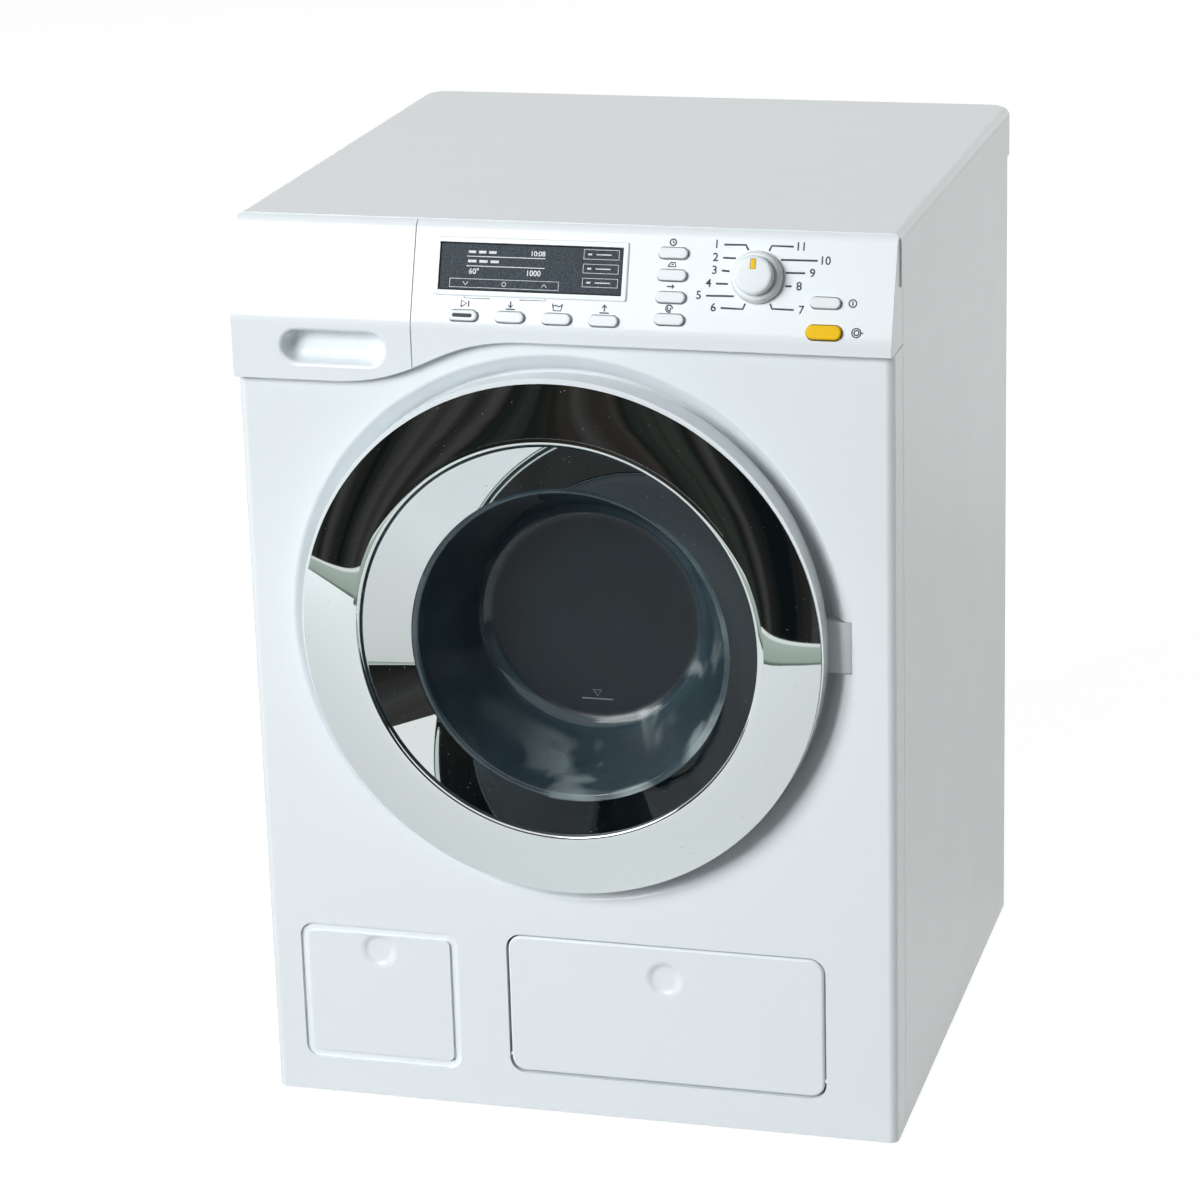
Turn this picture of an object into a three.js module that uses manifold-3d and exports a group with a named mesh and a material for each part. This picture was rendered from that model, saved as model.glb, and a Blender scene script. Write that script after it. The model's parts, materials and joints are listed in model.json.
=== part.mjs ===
// Toy front-loading washing machine, in millimetres at its real size.
// +Z is up and the door faces -Y. The origin is on the floor, under the middle of the machine.
import * as THREE from 'three';
import { mergeVertices } from 'three/addons/utils/BufferGeometryUtils.js';
import Module from 'manifold-3d';

const wasm = await Module();
wasm.setup();

// Sizes shared by every piece
const gap = 0.3; // clearance between neighbouring pieces
const over = 1; // how far a cutter runs past the face that it cuts
const weld = 0.0001; // points closer than this are one point
const round = { large: 40, tub: 30, middle: 24, small: 12, tiny: 8 }; // facets on a full circle
const arcSteps = 3; // facets on a quarter circle of an outline

// Casing: a wrap of sides and back, a front moulding, a lid and a base
const cabinet = { width: 184, depth: 182, height: 260, wall: 2.2, edge: 3, lift: 0.8 };
const lid = { overhang: 0.5, skirt: 14.3, wall: 2, top: 2.2, edge: 2.5 };
const front = {
  wall: 2.6, wrap: 12, edge: 2.5, seamDrop: 30.8, drawerDip: 13, fromShare: 0.15217, toShare: 0.45652,
};
const fascia = { proud: 3, facet: 4, lean: 20.07, wall: 2, edge: 1.8, splitShare: 0.28207 };
const base = { thickness: 2, lift: 2.2, footRadius: 8, footProud: 1.9, footInset: 14 };
const grille = { slots: 6, width: 26, height: 1.6, pitch: 4 };

// The dish round the door is as large as the front has room for, beside it and above the flaps
const half = cabinet.width / 2;
const seamZ = cabinet.height - front.seamDrop;
const dish = { side: 13.5, above: 4.3, below: 67.9, widthShare: 0.65, bevel: 3.9, depth: 5, wall: 2.2 };
const dishRadius = (half - dish.side) * dish.widthShare
  + ((seamZ - dish.above - dish.below) / 2) * (1 - dish.widthShare);
const dishZ = seamZ - dish.above - dishRadius;

// How much smaller each round of the door is than the one that it stands in
const within = { dish: 4.5, frame: 0.6, crown: 17.2, funnel: 10.6, bowl: 11.2 };
const doorRadius = dishRadius - within.dish;
const ringRadius = doorRadius - within.frame;
const lipRadius = ringRadius - within.crown;
const bowlRadius = lipRadius - within.funnel;

// Door: a white frame, a bright ring with a funnel, and a dark bowl, hung on a pin at the right
const door = { radius: doorRadius, wall: 1.8, rim: 8, back: 3.6, plate: 1.6, rise: 0.6 };
const ring = { radius: ringRadius, proud: 11.2, lipRadius, thickness: 1.7, edge: 0.9, crownPower: 1.6 };
const funnelShares = [0.33, 0.67, 1]; // how far along the funnel each of its bends lies
const faceShares = [0.94, 0.65, 0.3]; // how far out from the lip each bend of the ring's face lies
const underShares = [0.45, 0.7]; // the same behind the face
const bowl = {
  radius: bowlRadius, drop: 4.6, start: 2.3, endRadius: bowlRadius - within.bowl, end: 31.2, wall: 1.6,
  flange: 4.2,
};
const hinge = {
  play: 3.8, depth: 2.2, pin: 0.9, knuckle: 2, half: 7.2, reach: 12, boss: 13.6, bossWidth: 7,
};
const hingeX = doorRadius + hinge.play;
const latch = { inset: 4.5, width: 3, height: 8, reach: 11.6, barb: 1.7, barbLength: 3, slotSide: 1.4 };
const latchX = latch.inset - doorRadius;
const porthole = { beyond: 6.4, seal: 2, sealFlange: 5, tubPlay: 1 };
const portholeRadius = bowlRadius + porthole.beyond;

// Tub, drum and drive, all on the drum's axis
const gasket = {
  radius: portholeRadius - porthole.seal, outer: portholeRadius + porthole.sealFlange, wall: 1.5, waist: 3.4,
};
const tubPlay = 6.3; // how much smaller the tub is than the dish in front of it
const tub = {
  radius: dishRadius - tubPlay, wall: 2.2, front: 20, plate: 2, rim: 1.4,
  mouth: portholeRadius + porthole.tubPlay, rimDepth: 3,
};
const tubEar = { inset: 4.2, below: 12.2, radius: 5.5, screw: 1.6, arm: 9, post: 3.5 };
const earX = tub.radius - tubEar.inset;
const earZ = tub.radius - tubEar.below;
const bearing = { boss: 9, length: 10, outer: 6, collar: 7.5, collarThickness: 1.2 };
const tubRib = { count: 6, width: 1.6, height: 2, inset: 6.2 };
const drumPlay = 6.2; // between the drum and the tub
const drum = {
  radius: tub.radius - drumPlay, wall: 1.6, front: 25.5, behind: 13.1,
  mouth: portholeRadius - porthole.seal, plate: 2.2, hub: 9, hubLength: 5,
};
const drumHole = { rows: 3, perRow: 6, radius: 2.8, firstShare: 0.27, lastShare: 0.83 };
const drumBackHole = { rings: 2, radius: 2.8, firstShare: 0.42, lastShare: 0.76, perRing: 5 };
const paddle = { count: 3, height: 12, baseWidth: 15, topWidth: 6, behind: 8, slope: 10 };
const shaft = { radius: 4 };
const gear = { module: 1.5, drumTeeth: 32, idlerTeeth: 8, wheelTeeth: 24, pinionTeeth: 8, face: 5 };
const tooth = { tipShare: 0.9, rootShare: 1.2, widthShare: 0.395, rootWidthShare: 1.5, tipWidthShare: 0.5 };
const gearWindow = { count: 5, radius: 3, reach: 15 };
const train = { idlerAngle: -50, motorAngle: -10, axle: 1.5, hub: 3.6, hubLength: 2.5 };
const gearPlate = {
  thickness: 2.2, post: 4, margin: 7, leftRise: 9, leftSpare: 1, lowShift: 7.5, lowSpare: 4.6,
};
const motor = { radius: 10, flat: 15, length: 25, nose: 3, noseLength: 1.6, shaft: 1, behind: 9 };

// Drawer, flaps and the spaces behind them
const drawer = {
  wall: 1.4, bottom: 3.1, height: 20.4, length: 74, side: 4.8, dividerShare: 0.6, crossShare: 0.42,
};
const guide = { wall: 1.6, bottom: 1.2, height: 25.3, front: 13, length: 79, clearance: 0.4 };
const grip = { centreShare: 0.5607, rise: 9.3, widthShare: 0.5626, height: 8.8, depth: 6.4, wall: 1.4 };
const flapRoom = { right: 20.8, above: 13.4, mockAbove: 14.5 }; // beside the flap and up to the dish
const flapCeiling = dishZ - dishRadius;
const flap = {
  left: 71.7, right: cabinet.width - flapRoom.right, bottom: 12.8, top: flapCeiling - flapRoom.above,
  corner: 4, play: 0.4,
};
const flapPin = { radius: 0.6, reach: 2, rise: 4.6 };
const dimple = { radius: 4.6, floorRadius: 3.4, depth: 0.8, drop: 9.5 };
const mockFlap = {
  left: 9.3, right: 56.6, bottom: 11.3, top: flapCeiling - flapRoom.mockAbove, corner: 4,
};
const mockGroove = { width: 2.4, depth: 0.7, dimpleDrop: 6.9 };
const pocket = { wall: 1.5, depth: 37, margin: 0.6 };

// Control panel items, placed along the panel as shares of half its casing and up its slope (s)
const screen = {
  leftShare: -0.3587, rightShare: 0.19783, low: 9.6, high: 22.6, frame: 1.5, raise: 0.5, flange: 1.2,
  thickness: 1.2,
};
const button = {
  width: 8.1, height: 2.9, proud: 1.4, flange: 1.1, thickness: 1.1, travel: 1.2, bevel: 0.4, stem: 1.2,
  lowest: 0.6,
};
const doorKey = { width: 9.5, height: 3.8 };
const lowRow = { s: 2.8, firstShare: -0.27609, pitchShare: 0.14185, count: 4 };
const column = { share: 0.34565, low: 3.9, pitch: 5.9, count: 4 };
const rightKeys = { share: 0.80217, power: 9.9, door: 2.1 };
const knob = {
  share: 0.59783, s: 16, skirt: 7.1, skirtTop: 6.5, skirtHeight: 3.4, cap: 5.3, capHeight: 6.4, edge: 0.8,
};
const knobX = half * knob.share;
const knobShaft = { radius: 2.4, capPlug: 2.6, plugDepth: 1.6 };
const pointer = { width: 1.4, length: 2.6, depth: 0.5 };
const board = {
  drop: 9, thickness: 1.6, margin: 5, low: 2.2, high: 23.4, switchSize: 4.6, switchHeight: 2.4, boss: 1.8,
};

// Battery box, speaker and the other electrical pieces
const cell = { radius: 7.1, length: 49, nub: 2.6, nubLength: 1.2, count: 3, play: 1 };
const box = { wall: 1.6, fromBack: 5, contact: 3.2 };
const speaker = {
  radius: 20, rim: 2.4, cone: 11, magnet: 9, magnetLength: 6, fromSide: 47, fromTop: 55, lip: 3,
};

// Shared places
const frontY = (ring.proud - (cabinet.depth + lid.overhang)) / 2;
const dipZ = seamZ - front.drawerDip;
const doorZ = dishZ + door.rise;
const axisZ = dishZ - bowl.drop;
const creaseZ = seamZ + fascia.facet;
const lean = THREE.MathUtils.degToRad(fascia.lean);
const cornerD = (cabinet.height - creaseZ) * Math.tan(lean) - fascia.proud;
const fasciaTop = cornerD + fascia.edge * Math.tan((Math.PI / 2 - lean) / 2);
const lidSeam = cabinet.height - lid.skirt;
const splitX = cabinet.width * fascia.splitShare - half;
const rear = cabinet.depth;
const Y = (depth) => frontY + depth; // depth is measured back from the plane of the front panel

const plastic = (colour) => ({ color: colour, roughness: 0.25, metalness: 0 });
const looks = {
  white: plastic(0xeef2f4),
  key: plastic(0xf4f6f7),
  grey: plastic(0xb9bfc4),
  drawerGrey: plastic(0xd5dade),
  yellow: plastic(0xf2a900),
  chrome: { color: 0xd9dcde, roughness: 0.05, metalness: 1 },
  bowl: { color: 0x25323d, roughness: 0.08, metalness: 0, transparent: true, opacity: 0.6 },
  screen: { color: 0x2b353b, roughness: 0.2, metalness: 0 },
  rubber: { color: 0x4a4d50, roughness: 0.8, metalness: 0 },
  silver: { color: 0xb8bcbe, roughness: 0.35, metalness: 0.2 },
  steel: { color: 0xb4b8bb, roughness: 0.3, metalness: 1 },
  bronze: { color: 0xa9814a, roughness: 0.4, metalness: 1 },
  nylon: { color: 0xe6e3d8, roughness: 0.5, metalness: 0 },
  boardGreen: { color: 0x2f6b4a, roughness: 0.5, metalness: 0 },
  cell: { color: 0x3d4f63, roughness: 0.35, metalness: 0.3 },
  black: { color: 0x26282a, roughness: 0.6, metalness: 0 },
};

// Turns a closed geometry into a solid, with its faces pointing out
function solid(geometry, place) {
  const bare = geometry.clone();
  bare.deleteAttribute('normal');
  bare.deleteAttribute('uv');
  if (place) bare.applyMatrix4(place);
  const welded = mergeVertices(bare, weld);
  const spots = welded.attributes.position.array;
  const index = welded.index.array;
  const faces = [];
  let volume = 0;
  const corner = (i) => new THREE.Vector3().fromArray(spots, i * 3);
  for (let i = 0; i < index.length; i += 3) {
    const [a, b, c] = [index[i], index[i + 1], index[i + 2]];
    if (a === b || b === c || c === a) continue;
    faces.push(a, b, c);
    volume += corner(a).dot(corner(b).cross(corner(c)));
  }
  if (volume < 0) faces.reverse();
  return new wasm.Manifold(new wasm.Mesh({
    numProp: 3,
    vertProperties: new Float32Array(spots),
    triVerts: new Uint32Array(faces),
  }));
}

const join = (first, ...rest) => rest.reduce((sum, next) => sum.add(next), first);
const cut = (first, ...rest) => rest.reduce((sum, next) => sum.subtract(next), first);
const common = (first, ...rest) => rest.reduce((sum, next) => sum.intersect(next), first);

// A named mesh made from a solid
function piece(name, shape, look) {
  const { vertProperties, triVerts } = shape.getMesh();
  const geometry = new THREE.BufferGeometry();
  geometry.setAttribute('position', new THREE.BufferAttribute(vertProperties, 3));
  geometry.setIndex(new THREE.BufferAttribute(triVerts, 1));
  geometry.computeVertexNormals();
  const mesh = new THREE.Mesh(geometry, new THREE.MeshStandardMaterial(look));
  mesh.name = name;
  return mesh;
}

// Which way an outline's two directions and its thickness point
const toAxis = {
  x: new THREE.Matrix4().makeBasis(
    new THREE.Vector3(0, 1, 0), new THREE.Vector3(0, 0, 1), new THREE.Vector3(1, 0, 0)),
  y: new THREE.Matrix4().makeBasis(
    new THREE.Vector3(1, 0, 0), new THREE.Vector3(0, 0, 1), new THREE.Vector3(0, -1, 0)),
  z: new THREE.Matrix4(),
};

// An outline pushed along an axis: (y, z) along x, (x, z) along y or (x, y) along z
function prismGeometry(axis, shape, from, to) {
  const options = { depth: to - from, bevelEnabled: false, curveSegments: arcSteps };
  const geometry = new THREE.ExtrudeGeometry(shape, options);
  geometry.translate(0, 0, axis === 'y' ? -to : from);
  return geometry.applyMatrix4(toAxis[axis]);
}
const prism = (axis, shape, from, to, place) => solid(prismGeometry(axis, shape, from, to), place);

function block(x0, x1, y0, y1, z0, z1, place) {
  const geometry = new THREE.BoxGeometry(x1 - x0, y1 - y0, z1 - z0);
  geometry.translate((x0 + x1) / 2, (y0 + y1) / 2, (z0 + z1) / 2);
  return solid(geometry, place);
}

// A closed profile of [radius, depth] turned about the y axis, moved to (x, z)
function turned(profile, steps, x = 0, z = 0, place) {
  const points = profile.map(([r, y]) => new THREE.Vector2(r, y));
  if (points[0].x > 0) points.push(points[0].clone());
  return solid(new THREE.LatheGeometry(points, steps).translate(x, 0, z), place);
}

const rod = (radius, from, to, steps, x = 0, z = 0) =>
  turned([[0, from], [radius, from], [radius, to], [0, to]], steps, x, z);

// A rod along z, or along the normal of the control panel
function post(radius, from, to, steps, x, y, place) {
  const geometry = new THREE.CylinderGeometry(radius, radius, to - from, steps);
  geometry.rotateX(Math.PI / 2).translate(x, y, (from + to) / 2);
  return solid(geometry, place);
}

const outline = (points) => new THREE.Shape(points.map(([a, b]) => new THREE.Vector2(a, b)));

// A rectangle whose corners can have radii: lower left, lower right, upper right, upper left
function roundedBox(a0, a1, b0, b1, radii) {
  const [r0, r1, r2, r3] = radii;
  const shape = new THREE.Shape();
  shape.moveTo(a0 + r0, b0);
  shape.lineTo(a1 - r1, b0);
  if (r1 > 0) shape.absarc(a1 - r1, b0 + r1, r1, -Math.PI / 2, 0);
  shape.lineTo(a1, b1 - r2);
  if (r2 > 0) shape.absarc(a1 - r2, b1 - r2, r2, 0, Math.PI / 2);
  shape.lineTo(a0 + r3, b1);
  if (r3 > 0) shape.absarc(a0 + r3, b1 - r3, r3, Math.PI / 2, Math.PI);
  shape.lineTo(a0, b0 + r0);
  if (r0 > 0) shape.absarc(a0 + r0, b0 + r0, r0, Math.PI, Math.PI * 1.5);
  return shape;
}
const evenBox = (a0, a1, b0, b1, r) => roundedBox(a0, a1, b0, b1, [r, r, r, r]);

// A closed tube of rings: each station gives the ring's radius, its depth and its centre's height
function ringLoft(stations, steps) {
  const spots = [];
  const faces = [];
  const count = stations.length;
  stations.forEach(([radius, depth, centre]) => {
    for (let j = 0; j < steps; j += 1) {
      const turn = (j / steps) * Math.PI * 2;
      spots.push(radius * Math.cos(turn), depth, centre + radius * Math.sin(turn));
    }
  });
  for (let i = 0; i < count; i += 1) {
    for (let j = 0; j < steps; j += 1) {
      const a = i * steps + j;
      const b = i * steps + (j + 1) % steps;
      const c = ((i + 1) % count) * steps + j;
      const d = ((i + 1) % count) * steps + (j + 1) % steps;
      faces.push(a, b, c, b, d, c);
    }
  }
  const geometry = new THREE.BufferGeometry();
  geometry.setAttribute('position', new THREE.Float32BufferAttribute(spots, 3));
  geometry.setIndex(faces);
  return solid(geometry);
}

// A stack of one outline at several heights, each grown or shrunk, closed at both ends
function stacked(pointsAt, levels) {
  const spots = [];
  const faces = [];
  const steps = pointsAt(0).length;
  levels.forEach(([height, grow]) => {
    pointsAt(grow).forEach(([x, y]) => spots.push(x, y, height));
  });
  for (let i = 0; i + 1 < levels.length; i += 1) {
    for (let j = 0; j < steps; j += 1) {
      const a = i * steps + j;
      const b = i * steps + (j + 1) % steps;
      faces.push(a, b, a + steps, b, b + steps, a + steps);
    }
  }
  const top = (levels.length - 1) * steps;
  for (let j = 1; j + 1 < steps; j += 1) {
    faces.push(0, j + 1, j, top, top + j, top + j + 1);
  }
  const geometry = new THREE.BufferGeometry();
  geometry.setAttribute('position', new THREE.Float32BufferAttribute(spots, 3));
  geometry.setIndex(faces);
  return geometry;
}

// Outline points of a pill, grown by a margin
const pillAt = (width, height, steps) => (grow) => {
  const radius = height / 2 + grow;
  const reach = (width - height) / 2;
  const points = [];
  for (let side = 0; side < 2; side += 1) {
    for (let j = 0; j <= steps; j += 1) {
      const turn = Math.PI * (side + j / steps) - Math.PI / 2;
      const x = side === 0 ? reach : -reach;
      points.push([x + radius * Math.cos(turn), radius * Math.sin(turn)]);
    }
  }
  return points;
};

// The seam under the drawer and the control panel: low at the left, an S-curve, then straight
function seamPoints(lift) {
  const from = new THREE.Vector2(cabinet.width * front.fromShare - half, dipZ + lift);
  const to = new THREE.Vector2(cabinet.width * front.toShare - half, seamZ + lift);
  const middle = (from.x + to.x) / 2;
  const curve = new THREE.CubicBezierCurve(
    from, new THREE.Vector2(middle, from.y), new THREE.Vector2(middle, to.y), to);
  const ends = half + over;
  const swing = curve.getPoints(round.tiny).map((p) => [p.x, p.y]);
  return [[-ends, dipZ + lift], ...swing, [ends, seamZ + lift]];
}

// Profile of the fascia in (depth, z): upright foot, leaning face, rounded top edge
function fasciaProfile() {
  const turn = Math.PI / 2 - lean;
  const middle = [fasciaTop, cabinet.height - fascia.edge];
  const arc = [];
  for (let i = 0; i <= arcSteps; i += 1) {
    const angle = Math.PI / 2 + turn * (1 - i / arcSteps);
    arc.push([middle[0] + fascia.edge * Math.cos(angle), middle[1] + fascia.edge * Math.sin(angle)]);
  }
  return outline([
    [-fascia.proud, dipZ - over], [-fascia.proud, creaseZ], ...arc,
    [fasciaTop, lidSeam - gap], [front.wrap, lidSeam - gap], [front.wrap, dipZ - over],
  ].map(([d, z]) => [Y(d), z]));
}

// The same profile moved in by the wall, and open at the back
function fasciaCavity() {
  const wall = fascia.wall;
  const crease = creaseZ - wall * Math.sin(lean) + (wall * (1 - Math.cos(lean))) / Math.tan(lean);
  const top = cabinet.height - wall;
  const rise = top - creaseZ + wall * Math.sin(lean);
  const topD = wall * Math.cos(lean) - fascia.proud + rise * Math.tan(lean);
  return outline([
    [wall - fascia.proud, dipZ - over], [wall - fascia.proud, crease], [topD, top],
    [front.wrap + over, top], [front.wrap + over, dipZ - over],
  ].map(([d, z]) => [Y(d), z]));
}

// A shell of the fascia between two x positions
function fasciaShell(x0, x1) {
  const roof = cabinet.height + over;
  const body = (lift) => outline([...seamPoints(lift), [half + over, roof], [-half - over, roof]]);
  const edges = [0, 0, 0, 0];
  if (x0 === -half) edges[0] = front.edge;
  if (x1 === half) edges[1] = front.edge;
  const plan = roundedBox(x0, x1, Y(-fascia.proud), Y(front.wrap), edges);
  const shoulders = edges.map((r) => (r > 0 ? lid.edge : 0)).reverse();
  const fromFront = roundedBox(x0, x1, dipZ - over, cabinet.height, shoulders);
  const outside = common(
    prism('x', fasciaProfile(), x0, x1),
    prism('y', fromFront, Y(-fascia.proud - over), Y(front.wrap + over)),
    prism('y', body(0), Y(-fascia.proud - over), Y(front.wrap + over)),
    prism('z', plan, dipZ - over, roof));
  const inside = prism('x', fasciaCavity(), x0 + fascia.wall, x1 - fascia.wall)
    .intersect(prism('y', body(fascia.wall), Y(-fascia.proud - over), Y(front.wrap + over + over)));
  return outside.subtract(inside);
}

// Casing

function makeCabinet() {
  const inset = lid.wall + gap - lid.overhang;
  const start = front.wrap + gap;
  const shelf = lidSeam - gap;
  const roof = cabinet.height - lid.top - gap;
  const wide = (side, from, back, r) => roundedBox(-side, side, Y(from), Y(back), [0, 0, r, r]);
  const inner = half - cabinet.wall;
  const neck = half - inset;
  const outside = join(
    prism('z', wide(half, start, rear, cabinet.edge), cabinet.lift, shelf),
    prism('z', wide(neck, start, rear - inset, cabinet.edge), shelf - cabinet.wall, roof));
  const insideRear = rear - cabinet.wall;
  const slotX = half - speaker.fromSide;
  const slots = [];
  for (let i = 0; i < grille.slots; i += 1) {
    const z = cabinet.height - speaker.fromTop + (i - (grille.slots - 1) / 2) * grille.pitch;
    slots.push(block(slotX - grille.width / 2, slotX + grille.width / 2,
      Y(insideRear - over), Y(rear + over), z - grille.height / 2, z + grille.height / 2));
  }
  return piece('cabinet_shell', cut(
    outside,
    block(-inner, inner, Y(start - over), Y(insideRear), cabinet.lift - over, shelf - cabinet.wall),
    block(-neck + cabinet.wall, neck - cabinet.wall, Y(start - over), Y(rear - inset - cabinet.wall),
      shelf - cabinet.wall - over, roof + over),
    ...slots), looks.white);
}

function makeLid() {
  const side = half + lid.overhang;
  const start = fasciaTop + gap;
  const back = rear + lid.overhang;
  const plan = roundedBox(-side, side, Y(start), Y(back), [0, 0, cabinet.edge, cabinet.edge]);
  const fromFront = roundedBox(-side, side, lidSeam, cabinet.height, [0, 0, lid.edge, lid.edge]);
  const fromSide = roundedBox(Y(start), Y(back), lidSeam, cabinet.height, [0, 0, lid.edge, 0]);
  const outside = common(
    prism('z', plan, lidSeam, cabinet.height),
    prism('y', fromFront, Y(start), Y(back)),
    prism('x', fromSide, -side, side));
  return piece('top_lid', outside.subtract(block(
    lid.wall - side, side - lid.wall, Y(start - over), Y(back - lid.wall),
    lidSeam - over, cabinet.height - lid.top)), looks.white);
}

// Corners of a flap or its opening, from sizes measured from the casing's left side
const flapBox = (f, grow) =>
  evenBox(f.left - half - grow, f.right - half + grow, f.bottom - grow, f.top + grow, f.corner + grow);

function dimpleCutter(f, drop) {
  return turned([
    [0, -over], [dimple.radius, -over], [dimple.radius, 0], [dimple.floorRadius, dimple.depth],
    [0, dimple.depth],
  ], round.small, (f.left + f.right) / 2 - half, f.top - drop);
}

// A rod along the line that the flap turns on
function flapRod(radius, reach) {
  const rodShape = new THREE.CylinderGeometry(radius, radius, flap.right - flap.left + reach * 2, round.tiny);
  rodShape.rotateZ(Math.PI / 2);
  rodShape.translate((flap.left + flap.right) / 2 - half, front.wall / 2, flap.bottom + flapPin.rise);
  return solid(rodShape);
}

function makeFrontPanel() {
  const wall = front.wall;
  const bottom = cabinet.lift;
  const face = (side, low, lift) => outline([[side, low], ...seamPoints(lift).reverse().map(
    ([x, z]) => [Math.max(-side, Math.min(side, x)), z]), [-side, low]]);
  const plan = roundedBox(-half, half, 0, front.wrap, [front.edge, front.edge, 0, 0]);
  const shell = cut(
    prism('y', face(half, bottom, -gap), 0, front.wrap).intersect(
      prism('z', plan, bottom - over, cabinet.height)),
    prism('y', face(half - wall, bottom + wall, over), wall, front.wrap + over));
  const dishBack = dish.depth + wall;
  const rims = join(
    rod(dishRadius + dish.wall, 0, dishBack, round.large, 0, dishZ),
    block(hingeX - hinge.bossWidth, hingeX + hinge.bossWidth,
      0, dishBack, doorZ - hinge.boss, doorZ + hinge.boss));
  const posts = [];
  for (const sx of [-1, 1]) {
    for (const sz of [-1, 1]) {
      const [x, z] = [sx * earX, axisZ + sz * earZ];
      posts.push(rod(tubEar.post, wall / 2, tub.front - gap, round.tiny, x, z));
    }
  }
  const dishCutter = turned([
    [0, -over], [dishRadius, -over], [dishRadius, 0], [dishRadius - dish.bevel, dish.depth],
    [0, dish.depth],
  ], round.large, 0, dishZ);
  const knuckleRoom = block(
    door.radius - hinge.knuckle, hingeX + hinge.knuckle + gap,
    -over, hinge.depth + hinge.knuckle + gap,
    doorZ - hinge.half - gap, doorZ + hinge.half + gap);
  const pinRoom = post(hinge.pin + gap, doorZ - hinge.boss - over, doorZ + hinge.reach + gap,
    round.tiny, hingeX, hinge.depth);
  const latchRoom = block(
    latchX - latch.slotSide, latch.width + latch.barb + latch.slotSide + latchX,
    0, dishBack + over, doorZ - latch.height / 2 - gap - gap, doorZ + latch.height / 2 + gap + gap);
  const hole = rod(portholeRadius, -over, dishBack + over, round.large, 0, axisZ);
  const groove = prism('y', flapBox(mockFlap, 0), -over, mockGroove.depth)
    .subtract(prism('y', flapBox(mockFlap, -mockGroove.width), -over - over, wall));
  const opening = prism('y', flapBox(flap, flap.play), -over, wall + over);
  const sockets = flapRod(flapPin.radius + gap, flapPin.reach + gap);
  return piece('front_panel', cut(
    join(shell, rims, ...posts), dishCutter, hole, knuckleRoom, pinRoom, latchRoom, groove,
    dimpleCutter(mockFlap, mockGroove.dimpleDrop), opening, sockets), looks.white);
}

function makeFlap() {
  const plate = prism('y', flapBox(flap, 0), 0, front.wall);
  return piece('service_flap',
    join(cut(plate, dimpleCutter(flap, dimple.drop)), flapRod(flapPin.radius, flapPin.reach)), looks.white);
}

function makePocket() {
  const x0 = flap.left - half - flap.play - pocket.margin;
  const x1 = flap.right - half + flap.play + pocket.margin;
  const z0 = flap.bottom - flap.play - pocket.margin;
  const z1 = flap.top + flap.play + pocket.margin;
  const start = front.wall + gap;
  const t = pocket.wall;
  return piece('service_pocket', cut(
    block(x0 - t, x1 + t, start, start + pocket.depth, z0 - t, z1 + t),
    block(x0, x1, start - over, start + pocket.depth - t, z0, z1)), looks.drawerGrey);
}

// Base with its feet, and the hatch over the batteries
const hatch = (() => {
  const width = cell.count * (cell.radius * 2 + cell.play) + box.wall * 2 + cell.play;
  const back = rear - box.fromBack;
  const length = cell.length + cell.nubLength + box.contact * 2 + box.wall * 2;
  return { side: width / 2, front: back - length, back };
})();

function makeBase() {
  const side = half - cabinet.wall - gap;
  const start = front.wrap + gap;
  const end = rear - cabinet.wall - gap;
  const [z0, z1] = [base.lift, base.lift + base.thickness];
  const plate = block(-side, side, Y(start), Y(end), z0, z1);
  const opening = block(-hatch.side, hatch.side, Y(hatch.front), Y(hatch.back), z0 - over, z1 + over);
  const pieces = [
    piece('base_plate', plate.subtract(opening), looks.grey),
    piece('battery_cover', block(
      gap - hatch.side, hatch.side - gap, Y(hatch.front + gap), Y(hatch.back - gap), z0, z1), looks.grey),
  ];
  let number = 1;
  for (const y of [start + base.footInset, end - base.footInset]) {
    for (const x of [base.footInset - side, side - base.footInset]) {
      const foot = post(base.footRadius, 0, base.footProud, round.small, 0, 0);
      const mesh = piece(`foot_${number}`, foot, looks.rubber);
      mesh.position.set(x, Y(y), 0);
      pieces.push(mesh);
      number += 1;
    }
  }
  return pieces;
}

function makeBatteries() {
  const floor = base.lift + base.thickness + gap;
  const cellZ = floor + cell.radius;
  const roof = cellZ + cell.radius + gap;
  const t = box.wall;
  const outside = block(-hatch.side, hatch.side, hatch.front, hatch.back, floor, roof + t);
  const inside = block(t - hatch.side, hatch.side - t, hatch.front + t, hatch.back - t, floor - over, roof);
  const pieces = [piece('battery_box', outside.subtract(inside), looks.grey)];
  const pitch = cell.radius * 2 + cell.play;
  const start = hatch.front + t + box.contact;
  for (let i = 0; i < cell.count; i += 1) {
    const profile = [
      [0, 0], [cell.radius, 0], [cell.radius, cell.length], [cell.nub, cell.length],
      [cell.nub, cell.length + cell.nubLength], [0, cell.length + cell.nubLength],
    ];
    const mesh = piece(`battery_${i + 1}`, turned(profile, round.small), looks.cell);
    mesh.position.set((i - (cell.count - 1) / 2) * pitch, start, cellZ);
    pieces.push(mesh);
  }
  return pieces;
}

// Door, drawn around the middle of its ring; depth 0 is the front panel's plane
const ringDrop = doorZ - axisZ; // the bowl sits this far below the middle of the ring

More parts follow.
